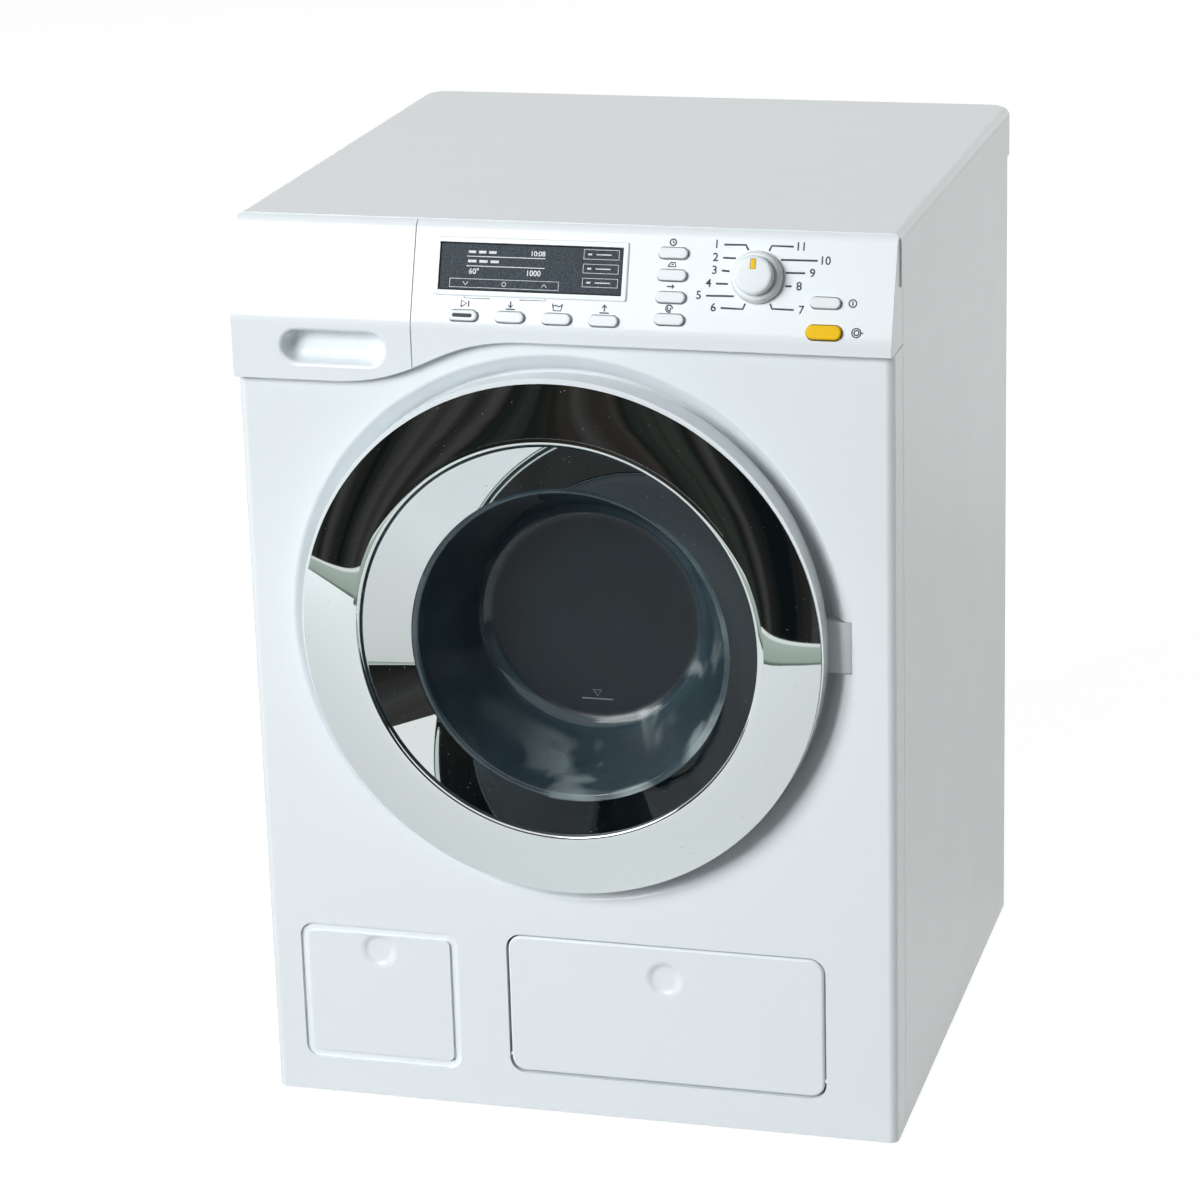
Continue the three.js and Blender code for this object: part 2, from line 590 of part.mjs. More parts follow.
function makeDoorFrame() {
  const inner = door.radius - door.wall;
  const seat = bowl.radius + bowl.flange + gap + gap;
  const wallRing = turned([
    [door.radius, -door.rim], [door.radius, door.back - door.plate / 2],
    [door.radius - door.plate / 2, door.back],
    [seat / 2, door.back], [seat / 2, door.back - door.plate], [inner, door.back - door.plate],
    [inner, -door.rim],
  ], round.large);
  const arm = block(inner + door.wall / 2, hingeX, hinge.depth - hinge.knuckle,
    hinge.depth + hinge.knuckle, -hinge.half, hinge.half);
  const knuckle = post(
    hinge.knuckle, -hinge.half, hinge.half, round.small, hingeX, hinge.depth);
  const bore = post(hinge.pin + gap, -hinge.reach, hinge.reach, round.tiny, hingeX, hinge.depth);
  return piece('door_frame', cut(
    join(wallRing, arm, knuckle),
    rod(seat, -over, door.back + over, round.large, 0, -ringDrop), bore), looks.white);
}

function makeChromeRing() {
  const t = ring.thickness;
  const lip = ring.lipRadius;
  const top = -ring.proud;
  const funnelEnd = bowl.start - gap;
  const funnelTop = top + ring.edge;
  const drop = (depth) => (-ringDrop * (depth - funnelTop)) / (funnelEnd - funnelTop);
  const outerD = -door.rim - gap;
  const crown = (share) =>
    [lip + (ring.radius - lip) * share, top + (outerD - top) * share ** ring.crownPower, 0];
  const width = lip - bowl.radius;
  const flare = (share) => {
    const depth = funnelTop + (funnelEnd - funnelTop) * share;
    return [lip - width * share, depth, drop(depth)];
  };
  const front = [
    [ring.radius, outerD, 0],
    [ring.radius, outerD - ring.edge / 2, 0],
    ...faceShares.map(crown),
    [lip + ring.edge / 2, top, 0],
    [lip, funnelTop, 0],
    ...funnelShares.map(flare),
  ];
  const back = [
    [bowl.radius + t, funnelEnd, -ringDrop],
    ...funnelShares.slice(0, -1).reverse().map((share) => {
      const [r, d, c] = flare(share);
      return [r + t, d, c];
    }),
    [lip + t, funnelTop + t, 0],
    ...underShares.map((share) => {
      const [r, d] = crown(share);
      return [r, d + t, 0];
    }),
    [door.radius - door.wall - gap, outerD, 0],
  ];
  return piece('chrome_ring', ringLoft([...front, ...back], round.large), looks.chrome);
}

function makeBowl() {
  const t = bowl.wall;
  const far = bowl.end;
  const corner = t + t / 2;
  const rimBack = bowl.start + t;
  const slope = (bowl.radius - bowl.endRadius) / (far - corner - bowl.start);
  const outerAt = (depth) => bowl.radius - slope * (depth - bowl.start);
  const shape = turned([
    [0, far - t], [bowl.endRadius - t - corner / 2, far - t], [bowl.endRadius - t, far - t - corner / 2],
    [bowl.radius - t, bowl.start], [bowl.radius + bowl.flange, bowl.start],
    [bowl.radius + bowl.flange, rimBack], [outerAt(rimBack), rimBack],
    [bowl.endRadius, far - corner], [bowl.endRadius - corner / 2, far - corner / 3],
    [bowl.endRadius - corner, far], [0, far],
  ], round.large);
  const mesh = piece('door_bowl', shape, looks.bowl);
  mesh.position.z = -ringDrop;
  return mesh;
}

function makeLatchHook() {
  const back = door.back + gap;
  const x = latchX;
  const inner = x + latch.width;
  const tip = back + latch.reach;
  const shape = outline([
    [x, back], [inner, back], [inner, tip - latch.barbLength], [inner + latch.barb, tip - latch.barbLength],
    [inner, tip], [x, tip],
  ]);
  return piece('latch_hook', prism('z', shape, -latch.height / 2, latch.height / 2), looks.grey);
}

function makeDoor() {
  const group = new THREE.Group();
  group.add(makeDoorFrame(), makeChromeRing(), makeBowl(), makeLatchHook());
  return group;
}

// The striker that the latch hook passes, and the pin that the door turns on
function makeDoorFittings() {
  const start = dish.depth + front.wall + gap;
  const x0 = latch.width + latch.barb + gap + gap + latchX;
  const x1 = x0 + latch.width * 2;
  const end = start + latch.reach;
  const nose = latch.barb / 2;
  const shape = outline([[x0 + nose, start], [x1, start], [x1, end], [x0, end], [x0, start + nose]]);
  const striker = piece('door_catch',
    prism('z', shape, doorZ - latch.height / 2, doorZ + latch.height / 2), looks.grey);
  const pin = piece('hinge_pin', post(
    hinge.pin, doorZ - hinge.reach, doorZ + hinge.reach, round.tiny, hingeX, hinge.depth),
  looks.steel);
  return [striker, pin];
}

// Tub and drum, drawn around the drum's axis
// Their places along it are measured forward from the casing's back wall
const motorEnd = rear - cabinet.wall - motor.behind;
const motorStart = motorEnd - motor.noseLength * 2 - motor.length;
const plateEnd = motorStart - gap * 2;
const plateStart = plateEnd - gearPlate.thickness;
const wheelEnd = plateStart - gap - train.hubLength;
const wheelStart = wheelEnd - gear.face;
const trainStart = wheelStart - gap * 2 - gear.face;
const tubBack = trainStart - gap * 3 - bearing.collarThickness - bearing.length;
const drumEnd = tubBack - tub.wall - drum.behind;
const boreOf = (radius) => radius + gap;

function makeGasket() {
  const start = dish.depth + front.wall + gap;
  const end = tub.front - gap;
  const [r, t] = [gasket.radius, gasket.wall];
  const length = end - start;
  const middle = start + length / 2;
  return piece('door_gasket', turned([
    [r, start], [gasket.outer, start], [gasket.outer, start + t], [r + gasket.waist + t, middle],
    [gasket.outer, end - t], [gasket.outer, end], [r, end], [r + gasket.waist, middle],
  ], round.tub), looks.rubber);
}

function makeTubFront() {
  const [r, z] = [tub.radius, tub.front];
  const inner = tub.radius - tub.wall - gap;
  const plate = turned([
    [tub.mouth, z], [r + tub.rim, z], [r + tub.rim, z + tub.plate], [inner, z + tub.plate],
    [inner, z + tub.plate + tub.rimDepth], [inner - tub.wall, z + tub.plate + tub.rimDepth],
    [inner - tub.wall, z + tub.plate], [tub.mouth, z + tub.plate],
  ], round.tub);
  const ears = [];
  const holes = [];
  for (const sx of [-1, 1]) {
    for (const sz of [-1, 1]) {
      const [x, up] = [sx * earX, sz * earZ];
      const reach = Math.hypot(x, up);
      const arm = new THREE.BoxGeometry(reach - r + tubEar.arm, tub.plate, tubEar.arm);
      arm.translate((reach + r - tubEar.arm) / 2, z + tub.plate / 2, 0);
      arm.rotateY(-Math.atan2(up, x));
      ears.push(solid(arm), rod(tubEar.radius, z, z + tub.plate, round.small, x, up));
      holes.push(rod(tubEar.screw, z - over, z + tub.plate + over, round.tiny, x, up));
    }
  }
  return piece('tub_front', cut(join(plate, ...ears), ...holes), looks.grey);
}

const idler = (() => {
  const reach = (gear.module * (gear.drumTeeth + gear.idlerTeeth)) / 2;
  const turn = THREE.MathUtils.degToRad(train.idlerAngle);
  return { x: reach * Math.cos(turn), z: reach * Math.sin(turn) };
})();
const motorAxis = (() => {
  const reach = (gear.module * (gear.wheelTeeth + gear.pinionTeeth)) / 2;
  const turn = THREE.MathUtils.degToRad(train.motorAngle);
  return { x: idler.x + reach * Math.cos(turn), z: idler.z + reach * Math.sin(turn) };
})();

function makeTubRear() {
  const [r, t] = [tub.radius, tub.wall];
  const start = tub.front + tub.plate + gap;
  const cup = turned([
    [r - t, start], [r + tub.rim, start], [r + tub.rim, start + t], [r, start + t], [r, tubBack],
    [0, tubBack], [0, tubBack - t], [r - t, tubBack - t],
  ], round.tub);
  const end = tubBack + bearing.length;
  const ribs = [];
  const reach = r - tubRib.inset;
  for (let i = 0; i < tubRib.count; i += 1) {
    const rib = new THREE.BoxGeometry(reach - bearing.boss / 2, tubRib.height + t / 2, tubRib.width);
    rib.translate((reach + bearing.boss / 2) / 2, tubBack + (tubRib.height - t / 2) / 2, 0);
    rib.rotateY(-Math.PI * (2 * i + 1) / tubRib.count);
    ribs.push(solid(rib));
  }
  const axleBoss = rod(train.hub, tubBack - t / 2, end, round.small, idler.x, idler.z);
  return piece('tub_rear', cut(
    join(cup, rod(bearing.boss, tubBack - t / 2, end, round.middle), ...ribs, axleBoss),
    rod(bearing.outer + gap, tubBack - t - over, end + over, round.middle),
    rod(train.axle + gap, tubBack + t, end + over, round.tiny, idler.x, idler.z)), looks.grey);
}

function makeBush() {
  const start = tubBack - tub.wall;
  const end = tubBack + bearing.length + gap;
  const inner = boreOf(shaft.radius);
  return piece('drum_bush', turned([
    [inner, start], [bearing.outer, start], [bearing.outer, end], [bearing.collar, end],
    [bearing.collar, end + bearing.collarThickness], [inner, end + bearing.collarThickness],
  ], round.small), looks.bronze);
}

// The drum's front is a disc with the mouth in it. Its low rim stands inside the shell
function makeDrumFront() {
  const [r, t, start] = [drum.radius, drum.wall, drum.front];
  const rim = r - t - gap;
  return piece('drum_front', turned([
    [r, start], [r, start + t], [rim, start + t], [rim, start + t * 2], [rim - t, start + t * 2],
    [rim - t, start + t], [drum.mouth + t, start + t], [drum.mouth, start + t * 2], [drum.mouth, start],
  ], round.tub), looks.silver);
}

function makeDrumShell() {
  const [r, t] = [drum.radius, drum.wall];
  const start = drum.front + t + gap;
  const shell = turned([[r - t, start], [r, start], [r, drumEnd], [r - t, drumEnd]], round.tub);
  const holes = [];
  const span = drumHole.lastShare - drumHole.firstShare;
  for (let row = 0; row < drumHole.rows; row += 1) {
    const share = drumHole.firstShare + (span * row) / (drumHole.rows - 1);
    const depth = start + (drumEnd - start) * share;
    for (let i = 0; i < drumHole.perRow; i += 1) {
      const hole = new THREE.CylinderGeometry(drumHole.radius, drumHole.radius, t * 4, round.tiny / 2);
      hole.translate(0, r - t / 2, 0).rotateX(Math.PI / 2).translate(0, depth, 0);
      hole.rotateY((Math.PI * (2 * i + row % 2)) / drumHole.perRow + Math.PI / drumHole.perRow / 2);
      holes.push(solid(hole));
    }
  }
  return piece('drum_shell', cut(shell, ...holes), looks.silver);
}

function makeDrumBack() {
  const r = drum.radius - drum.wall - gap;
  const [start, end] = [drumEnd - drum.plate, drumEnd];
  const bore = boreOf(shaft.radius);
  const dishIn = drum.plate * 2;
  const disc = turned([
    [bore, start - dishIn], [drum.hub, start - dishIn], [r / 2, start], [r, start], [r, end], [r / 2, end],
    [drum.hub + drum.plate, end - dishIn], [drum.hub, end - dishIn],
    [drum.hub, end + drum.hubLength], [bore, end + drum.hubLength],
  ], round.tub);
  const holes = [];
  for (let k = 0; k < drumBackHole.rings; k += 1) {
    const span = drumBackHole.lastShare - drumBackHole.firstShare;
    const reach = r * (drumBackHole.firstShare + (span * k) / (drumBackHole.rings - 1));
    const count = drumBackHole.perRing * (k + 1);
    for (let i = 0; i < count; i += 1) {
      const turn = (Math.PI * 2 * i) / count;
      holes.push(rod(drumBackHole.radius, start - dishIn - over, end + over, round.tiny / 2,
        reach * Math.cos(turn), reach * Math.sin(turn)));
    }
  }
  return piece('drum_back', cut(disc, ...holes), looks.silver);
}

function makePaddles() {
  const seat = drum.radius - drum.wall - gap;
  const start = drum.front + drum.wall * 2 + gap;
  const end = drumEnd - paddle.behind;
  const [wide, narrow] = [paddle.baseWidth / 2, paddle.topWidth / 2];
  const low = seat - paddle.height;
  const across = outline([[-wide, seat + over], [wide, seat + over], [narrow, low], [-narrow, low]]);
  const along = outline([
    [start, seat + over], [end, seat + over], [end - paddle.slope, low], [start + paddle.slope, low],
  ]);
  const wedge = common(
    prism('y', across, start, end), prism('x', along, -wide, wide),
    rod(seat, start, end, round.large));
  return Array.from({ length: paddle.count }, (unused, i) => {
    const mesh = piece(`drum_paddle_${i + 1}`, wedge, looks.grey);
    mesh.rotation.y = (Math.PI * 2 * (i + 1 / 2)) / paddle.count;
    return mesh;
  });
}

// A spur gear about the y axis, its teeth tapering with straight flanks
function gearSolid(teeth, from, to, bore, turn) {
  const pitch = (gear.module * teeth) / 2;
  const tip = pitch + gear.module * tooth.tipShare;
  const root = pitch - gear.module * tooth.rootShare;
  const width = tooth.widthShare;
  const points = [];
  const spots = [[root, width * tooth.rootWidthShare], [tip, width * tooth.tipWidthShare]];
  for (let i = 0; i < teeth; i += 1) {
    const middle = (Math.PI * 2 * i) / teeth + turn;
    const toothAngle = (Math.PI * 2) / teeth;
    const flank = (side) => ([r, wide]) => {
      const angle = middle + (side * wide * toothAngle) / 2;
      return [r * Math.cos(angle), r * Math.sin(angle)];
    };
    points.push(...spots.map(flank(-1)), ...spots.slice().reverse().map(flank(1)));
  }
  const body = prism('y', outline(points), from, to);
  return bore > 0 ? body.subtract(rod(bore, from - over, to + over, round.small)) : body;
}

function makeDrive() {
  const start = trainStart;
  const end = start + gear.face;
  const drumGear = cut(
    join(gearSolid(gear.drumTeeth, start, end, boreOf(shaft.radius), 0),
      rod(drum.hub, start - gap, end + train.hubLength, round.small)),
    rod(boreOf(shaft.radius), start - over, wheelEnd, round.small));
  const lighten = [];
  for (let i = 0; i < gearWindow.count; i += 1) {
    const turn = (Math.PI * 2 * i) / gearWindow.count;
    lighten.push(rod(gearWindow.radius, start - over, end + over, round.tiny,
      gearWindow.reach * Math.cos(turn), gearWindow.reach * Math.sin(turn)));
  }
  const shaftMesh = piece('drum_shaft', rod(
    shaft.radius, drumEnd - drum.plate * 3, plateEnd, round.small), looks.steel);
  return [piece('drum_gear', cut(drumGear, ...lighten), looks.nylon), shaftMesh];
}

// The idler's small gear meshes with the drum gear and its wheel with the motor pinion.
// A tooth of one gear stands in a space of the other, along the line between the two centres.
function meshTurn(teeth, drivingTeeth, drivingTurn, angle) {
  const line = THREE.MathUtils.degToRad(angle);
  const offset = (line - drivingTurn) * drivingTeeth; // phase of the driving gear on the line
  return line + Math.PI - Math.PI / teeth + offset / teeth;
}

function makeIdler() {
  const start = trainStart;
  const end = start + gear.face;
  const last = wheelEnd;
  const bore = boreOf(train.axle);
  const turn = meshTurn(gear.idlerTeeth, gear.drumTeeth, 0, train.idlerAngle);
  const small = gearSolid(gear.idlerTeeth, start - gap, end + gap, bore, turn);
  const wheel = gearSolid(gear.wheelTeeth, end + gap, last, bore, turn);
  const hub = rod(train.hub, last - gap, last + train.hubLength, round.small);
  const hole = rod(bore, start - over, last + gear.face, round.small);
  const mesh = piece('idler_gear', cut(join(small, wheel, hub), hole), looks.nylon);
  mesh.position.set(idler.x, 0, idler.z);
  const axle = piece('idler_axle', rod(
    train.axle, tubBack + tub.wall + gap, plateEnd, round.tiny), looks.steel);
  axle.position.set(idler.x, 0, idler.z);
  return { mesh, axle, turn };
}

function makePinion(idlerTurn) {
  const start = wheelStart;
  const end = wheelEnd;
  const turn = meshTurn(gear.pinionTeeth, gear.wheelTeeth, idlerTurn, train.motorAngle);
  const shape = join(
    gearSolid(gear.pinionTeeth, start, end, 0, turn),
    rod(motor.shaft, end - gap, plateEnd + gap, round.tiny));
  const mesh = piece('motor_pinion', shape, looks.bronze);
  mesh.position.set(motorAxis.x, 0, motorAxis.z);
  return mesh;
}

function makeMotor() {
  const start = motorStart;
  const end = motorEnd - motor.noseLength;
  const can = rod(motor.radius, start + motor.noseLength, end, round.middle)
    .intersect(block(-motor.radius, motor.radius, start, end + over, -motor.flat / 2, motor.flat / 2));
  const shape = join(can, rod(motor.nose, start, start + motor.noseLength + over, round.small),
    rod(motor.nose, end - over, motorEnd, round.small));
  const mesh = piece('motor', shape, looks.steel);
  mesh.position.set(motorAxis.x, 0, motorAxis.z);
  return mesh;
}

function makeGearPlate() {
  const [start, end] = [plateStart, plateEnd];
  const clear = gear.module * (gear.drumTeeth / 2 + 1) + gearPlate.post + gap;
  const wheelClear = gear.module * (gear.wheelTeeth / 2 + 1) + gearPlate.post + gap;
  const posts = [
    [-clear - gearPlate.leftSpare, gearPlate.leftRise],
    [motorAxis.x + motor.radius + gap, motorAxis.z + wheelClear],
    [idler.x - gearPlate.lowShift, idler.z - wheelClear - gearPlate.lowSpare],
  ];
  const m = gearPlate.margin;
  const [left, right, low] = posts;
  const shape = outline([
    [left[0] - m, left[1] - m], [low[0] - m, low[1] - m], [low[0] + m, low[1] - m],
    [motorAxis.x + motor.radius + m, motorAxis.z - motor.radius], [right[0] + m, right[1]],
    [right[0], right[1] + m], [left[0] + m, left[1] + m], [left[0] - m, left[1] + m],
  ]);
  const columns = posts.map(([x, z]) => rod(gearPlate.post, tubBack + gap, start + over, round.small, x, z));
  const holes = [
    rod(boreOf(shaft.radius), start - over, end + over, round.small),
    rod(boreOf(train.axle), start - over, end + over, round.small, idler.x, idler.z),
    rod(motor.nose, start - over, end + over, round.small, motorAxis.x, motorAxis.z),
  ];
  return piece('gearbox_plate', cut(join(prism('y', shape, start, end), ...columns), ...holes), looks.grey);
}

// Drawer with its guide. The drawer's body hangs behind its front in the upper left corner
const drawerFloor = dipZ + drawer.bottom;
const trayLeft = drawer.side - half;
const trayRight = splitX - drawer.side;

function makeDrawerFront() {
  const shell = fasciaShell(-half, splitX - gap);
  const wide = splitX + half;
  const x = wide * grip.centreShare - half;
  const z = dipZ + grip.rise;
  const [w, h, t] = [(wide * grip.widthShare) / 2, grip.height / 2, grip.wall];
  const pill = (grow) => evenBox(x - w - grow, x + w + grow, z - h - grow, z + h + grow, h + grow);
  const start = -fascia.proud;
  const cup = prism('y', pill(t), Y(start + t), Y(start + grip.depth + t)).intersect(
    block(-half + t, splitX - fascia.wall, Y(start), Y(front.wrap), dipZ + t / 2, cabinet.height));
  const room = prism('y', pill(0), Y(start - over), Y(start + grip.depth));
  const under = prism('y', outline([...seamPoints(0), [half, cabinet.height], [-half, cabinet.height]]),
    Y(start - over), Y(front.wrap + over));
  return piece('drawer_front', shell.add(cup.intersect(under)).subtract(room), looks.white);
}

function makeDrawerTray() {
  const t = drawer.wall;
  const [x0, x1] = [trayLeft, trayRight];
  const start = front.wrap + gap;
  const end = start + drawer.length;
  const top = drawerFloor + drawer.height;
  const floor = drawerFloor + t;
  const split = x0 + (x1 - x0) * drawer.dividerShare;
  const cross = start + drawer.length * drawer.crossShare;
  return piece('drawer_tray', cut(
    block(x0, x1, Y(start), Y(end), drawerFloor, top),
    block(x0 + t, split - t / 2, Y(start + t), Y(cross - t / 2), floor, top + over),
    block(x0 + t, split - t / 2, Y(cross + t / 2), Y(end - t), floor, top + over),
    block(split + t / 2, x1 - t, Y(start + t), Y(end - t), floor, top + over)), looks.drawerGrey);
}

function makeGuide() {
  const t = guide.wall;
  const c = guide.clearance;
  const z0 = dipZ + guide.bottom;
  const [x0, x1] = [trayLeft - c, trayRight + c];
  const [start, end] = [guide.front, guide.front + guide.length];
  return piece('drawer_guide', cut(
    block(x0 - t, x1 + t, Y(start), Y(end), z0, z0 + guide.height),
    block(x0, x1, Y(start - over), Y(end - t), z0 + t, z0 + guide.height + over)), looks.grey);
}

// Control panel. Its items are drawn in the plane of its leaning face
const slope = Math.PI / 2 - lean;
const panelPlace = new THREE.Matrix4().makeRotationX(slope).setPosition(0, Y(-fascia.proud), creaseZ);

const place = (share, s) => ({ x: half * share, s });
const white = { size: button, look: looks.key };
const keys = [
  ...['start_button', 'water_in_button', 'wash_button', 'water_out_button'].map((name, i) =>
    ({ name, ...place(lowRow.firstShare + lowRow.pitchShare * i, lowRow.s), ...white })),
  ...Array.from({ length: column.count }, (unused, i) => ({
    name: `option_button_${column.count - i}`, ...place(column.share, column.low + column.pitch * i),
    ...white,
  })),
  { name: 'power_button', ...place(rightKeys.share, rightKeys.power), ...white },
  { name: 'door_button', ...place(rightKeys.share, rightKeys.door), size: doorKey, look: looks.yellow },
];
const glass = { ...screen, left: half * screen.leftShare, right: half * screen.rightShare };
const boardFace = -board.drop;

function makeControlPanel() {
  const shell = fasciaShell(splitX, half);
  const s = glass;
  const frameBox = block(s.left - s.frame, s.right + s.frame, s.low - s.frame, s.high + s.frame,
    -fascia.wall / 2, s.raise, panelPlace);
  const low = -fascia.wall - over;
  const window = block(s.left, s.right, s.low, s.high, low, s.raise + over, panelPlace);
  const holes = keys.map(({ x, s: up, size }) => {
    const hole = stacked(pillAt(size.width, size.height, arcSteps + 2), [[low, gap], [over, gap]]);
    return solid(hole.translate(x, up, 0), panelPlace);
  });
  const knobHole = post(boreOf(knobShaft.radius), low, over, round.small, knobX, knob.s, panelPlace);
  const columnLeft = half * column.share - button.width / 2 - button.flange;
  const bosses = [
    [(s.right + s.flange + columnLeft) / 2, (board.low + board.high) / 2],
    [half - board.margin - board.boss * 2, board.high - board.boss * 2],
  ].map(([x, up]) => post(board.boss, boardFace + gap, -fascia.wall / 2, round.tiny, x, up, panelPlace));
  return piece('control_panel',
    cut(join(shell, frameBox, ...bosses), window, ...holes, knobHole), looks.white);
}

function makeBoard() {
  const [x0, x1] = [splitX + board.margin, half - board.margin];
  const plate = block(x0, x1, board.low, board.high, boardFace - board.thickness, boardFace);
  const size = board.switchSize / 2;
  const [from, to] = [boardFace - gap, boardFace + board.switchHeight];
  const bumps = keys.map(({ x, s }) => block(
    x - size, x + size, Math.max(s - size, board.low), s + size, from, to));
  const selector = post(board.switchSize, from, to, round.small, knobX, knob.s);
  return piece('circuit_board', join(plate, ...bumps, selector), looks.boardGreen);
}

function makeScreen() {
  const s = glass;
  const behind = -fascia.wall - gap;
  return piece('display_window', join(
    block(s.left + gap, s.right - gap, s.low + gap, s.high - gap, behind - s.thickness, 0),
    block(s.left - s.flange, s.right + s.flange, s.low - s.flange, s.high + s.flange,
      behind - s.thickness, behind)), looks.screen);
}

function makeButton({ name, x, s, size, look }) {
  const behind = -fascia.wall - gap;
  const low = behind - button.thickness;
  const cap = stacked(pillAt(size.width, size.height, arcSteps), [
    [low, button.flange], [behind, button.flange], [behind, 0], [button.proud - button.bevel, 0],
    [button.proud, -button.bevel],
  ]);
  const touch = boardFace + board.switchHeight + button.travel + gap;
  const beyond = size.height + button.flange + over;
  const creaseRoom = block(-size.width, size.width, -beyond, Math.min(button.lowest - s, -size.height / 2),
    low - over, behind);
  const stem = post(button.stem, touch, low + gap, round.tiny / 2, 0, 0);
  const shape = solid(cap).add(stem).subtract(creaseRoom);
  const mesh = piece(name, shape, look);
  mesh.position.set(x, s, 0);
  return mesh;
}

function makeKnob() {
  const upright = new THREE.Matrix4().makeRotationX(Math.PI / 2);
  const selectorTop = boardFace + board.switchHeight;
  const skirt = turned([
    [0, selectorTop + gap], [knobShaft.radius, selectorTop + gap], [knobShaft.radius, gap],
    [knob.skirt, gap], [knob.skirt, knob.skirtHeight / 3], [knob.skirtTop, knob.skirtHeight],
    [knobShaft.capPlug + gap, knob.skirtHeight],
    [knobShaft.capPlug + gap, knob.skirtHeight - knobShaft.plugDepth - gap],
    [0, knob.skirtHeight - knobShaft.plugDepth - gap],
  ], round.middle, 0, 0, upright);
  const bottom = knob.skirtHeight + gap;
  const cap = turned([
    [0, bottom - knobShaft.plugDepth], [knobShaft.capPlug, bottom - knobShaft.plugDepth],
    [knobShaft.capPlug, bottom], [knob.cap, bottom], [knob.cap, knob.capHeight - knob.edge],
    [knob.cap - knob.edge / 3, knob.capHeight - knob.edge / 3], [knob.cap - knob.edge, knob.capHeight],
    [0, knob.capHeight],
  ], round.middle, 0, 0, upright);
  const [w, tip] = [pointer.width / 2, knob.cap - knob.edge - gap];
  const tail = tip - pointer.length;
  const floor = knob.capHeight - pointer.depth;
  const play = gap / 3;
  const slot = block(-w - play, w + play, tail - play, tip + play, floor - play, knob.capHeight + over);
  const group = new THREE.Group();
  group.position.set(knobX, knob.s, 0);
  group.add(
    piece('knob_skirt', skirt, looks.key),
    piece('knob_cap', cap.subtract(slot), looks.key),
    piece('knob_pointer', block(-w, w, tail, tip, floor, knob.capHeight), looks.yellow));
  return group;
}

function makeSpeaker() {
  const end = rear - cabinet.wall - gap;
  const [r, lip] = [speaker.radius, speaker.lip];
  const backEnd = end - lip * 3;
  const shape = turned([
    [0, end - lip * 2], [speaker.cone / 2, end - lip * 2], [r - speaker.rim, end - lip / 2],
    [r - speaker.rim, end], [r, end], [r, end - lip], [speaker.cone, backEnd], [speaker.magnet, backEnd],
    [speaker.magnet, backEnd - speaker.magnetLength], [0, backEnd - speaker.magnetLength],
  ], round.small);
  const mesh = piece('speaker', shape, looks.black);
  mesh.position.set(half - speaker.fromSide, frontY, cabinet.height - speaker.fromTop);
  return mesh;
}

// Assembly
const machine = new THREE.Group();
machine.add(makeCabinet(), makeLid(), ...makeBase());

const atFront = new THREE.Group(); // y is measured back from the front panel's plane
atFront.position.y = frontY;
atFront.add(makeFrontPanel(), makeFlap(), makePocket(), ...makeDoorFittings(), ...makeBatteries());

const doorGroup = makeDoor();
doorGroup.position.set(0, frontY, doorZ);

const axisGroup = new THREE.Group();
axisGroup.position.set(0, frontY, axisZ);
const { mesh: idlerGear, axle: idlerAxle, turn: idlerTurn } = makeIdler();
axisGroup.add(
  makeGasket(), makeTubFront(), makeTubRear(), makeBush(), makeDrumFront(), makeDrumShell(), makeDrumBack(),
  ...makePaddles(), ...makeDrive(), idlerGear, idlerAxle, makePinion(idlerTurn), makeMotor(),
  makeGearPlate());

const panelGroup = new THREE.Group();
panelGroup.position.set(0, Y(-fascia.proud), creaseZ);
panelGroup.rotation.x = slope;
panelGroup.add(makeBoard(), makeScreen(), makeKnob(), ...keys.map(makeButton));

machine.add(
  atFront, doorGroup, axisGroup, panelGroup, makeControlPanel(),
  makeDrawerFront(), makeDrawerTray(), makeGuide(), makeSpeaker());

export default machine;
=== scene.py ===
# %% [markdown]
# This lesson dresses a toy washing machine for a photograph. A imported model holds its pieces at
# their real size and place, and each step here takes one piece and gives it the smooth edges,
# recesses, prints and finishes of the moulded toy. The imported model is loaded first. Its sizes
# could be typed in again, but they are measured from its pieces, so that both models stay alike.

import json
import math

import bmesh
import bpy
from mathutils import Matrix, Vector

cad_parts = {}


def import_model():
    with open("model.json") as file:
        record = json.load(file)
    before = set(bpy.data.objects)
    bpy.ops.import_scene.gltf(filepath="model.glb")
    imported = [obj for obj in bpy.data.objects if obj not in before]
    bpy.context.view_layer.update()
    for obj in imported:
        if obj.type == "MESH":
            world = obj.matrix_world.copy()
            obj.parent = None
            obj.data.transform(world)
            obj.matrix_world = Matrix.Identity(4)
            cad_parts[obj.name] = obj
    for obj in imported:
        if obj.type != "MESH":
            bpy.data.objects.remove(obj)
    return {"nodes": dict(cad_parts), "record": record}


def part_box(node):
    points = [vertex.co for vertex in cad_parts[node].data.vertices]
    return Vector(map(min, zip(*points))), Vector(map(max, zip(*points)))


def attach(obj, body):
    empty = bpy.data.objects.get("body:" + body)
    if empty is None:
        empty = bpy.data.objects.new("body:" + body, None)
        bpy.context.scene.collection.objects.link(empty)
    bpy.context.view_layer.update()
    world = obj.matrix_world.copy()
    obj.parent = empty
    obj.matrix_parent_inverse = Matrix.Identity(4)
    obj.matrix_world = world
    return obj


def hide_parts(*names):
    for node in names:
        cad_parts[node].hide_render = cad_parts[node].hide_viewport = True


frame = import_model()
for spare in ("Cube", "Light", "Camera"):
    if spare in bpy.data.objects:
        bpy.data.objects.remove(bpy.data.objects[spare])
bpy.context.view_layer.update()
mm = 0.001

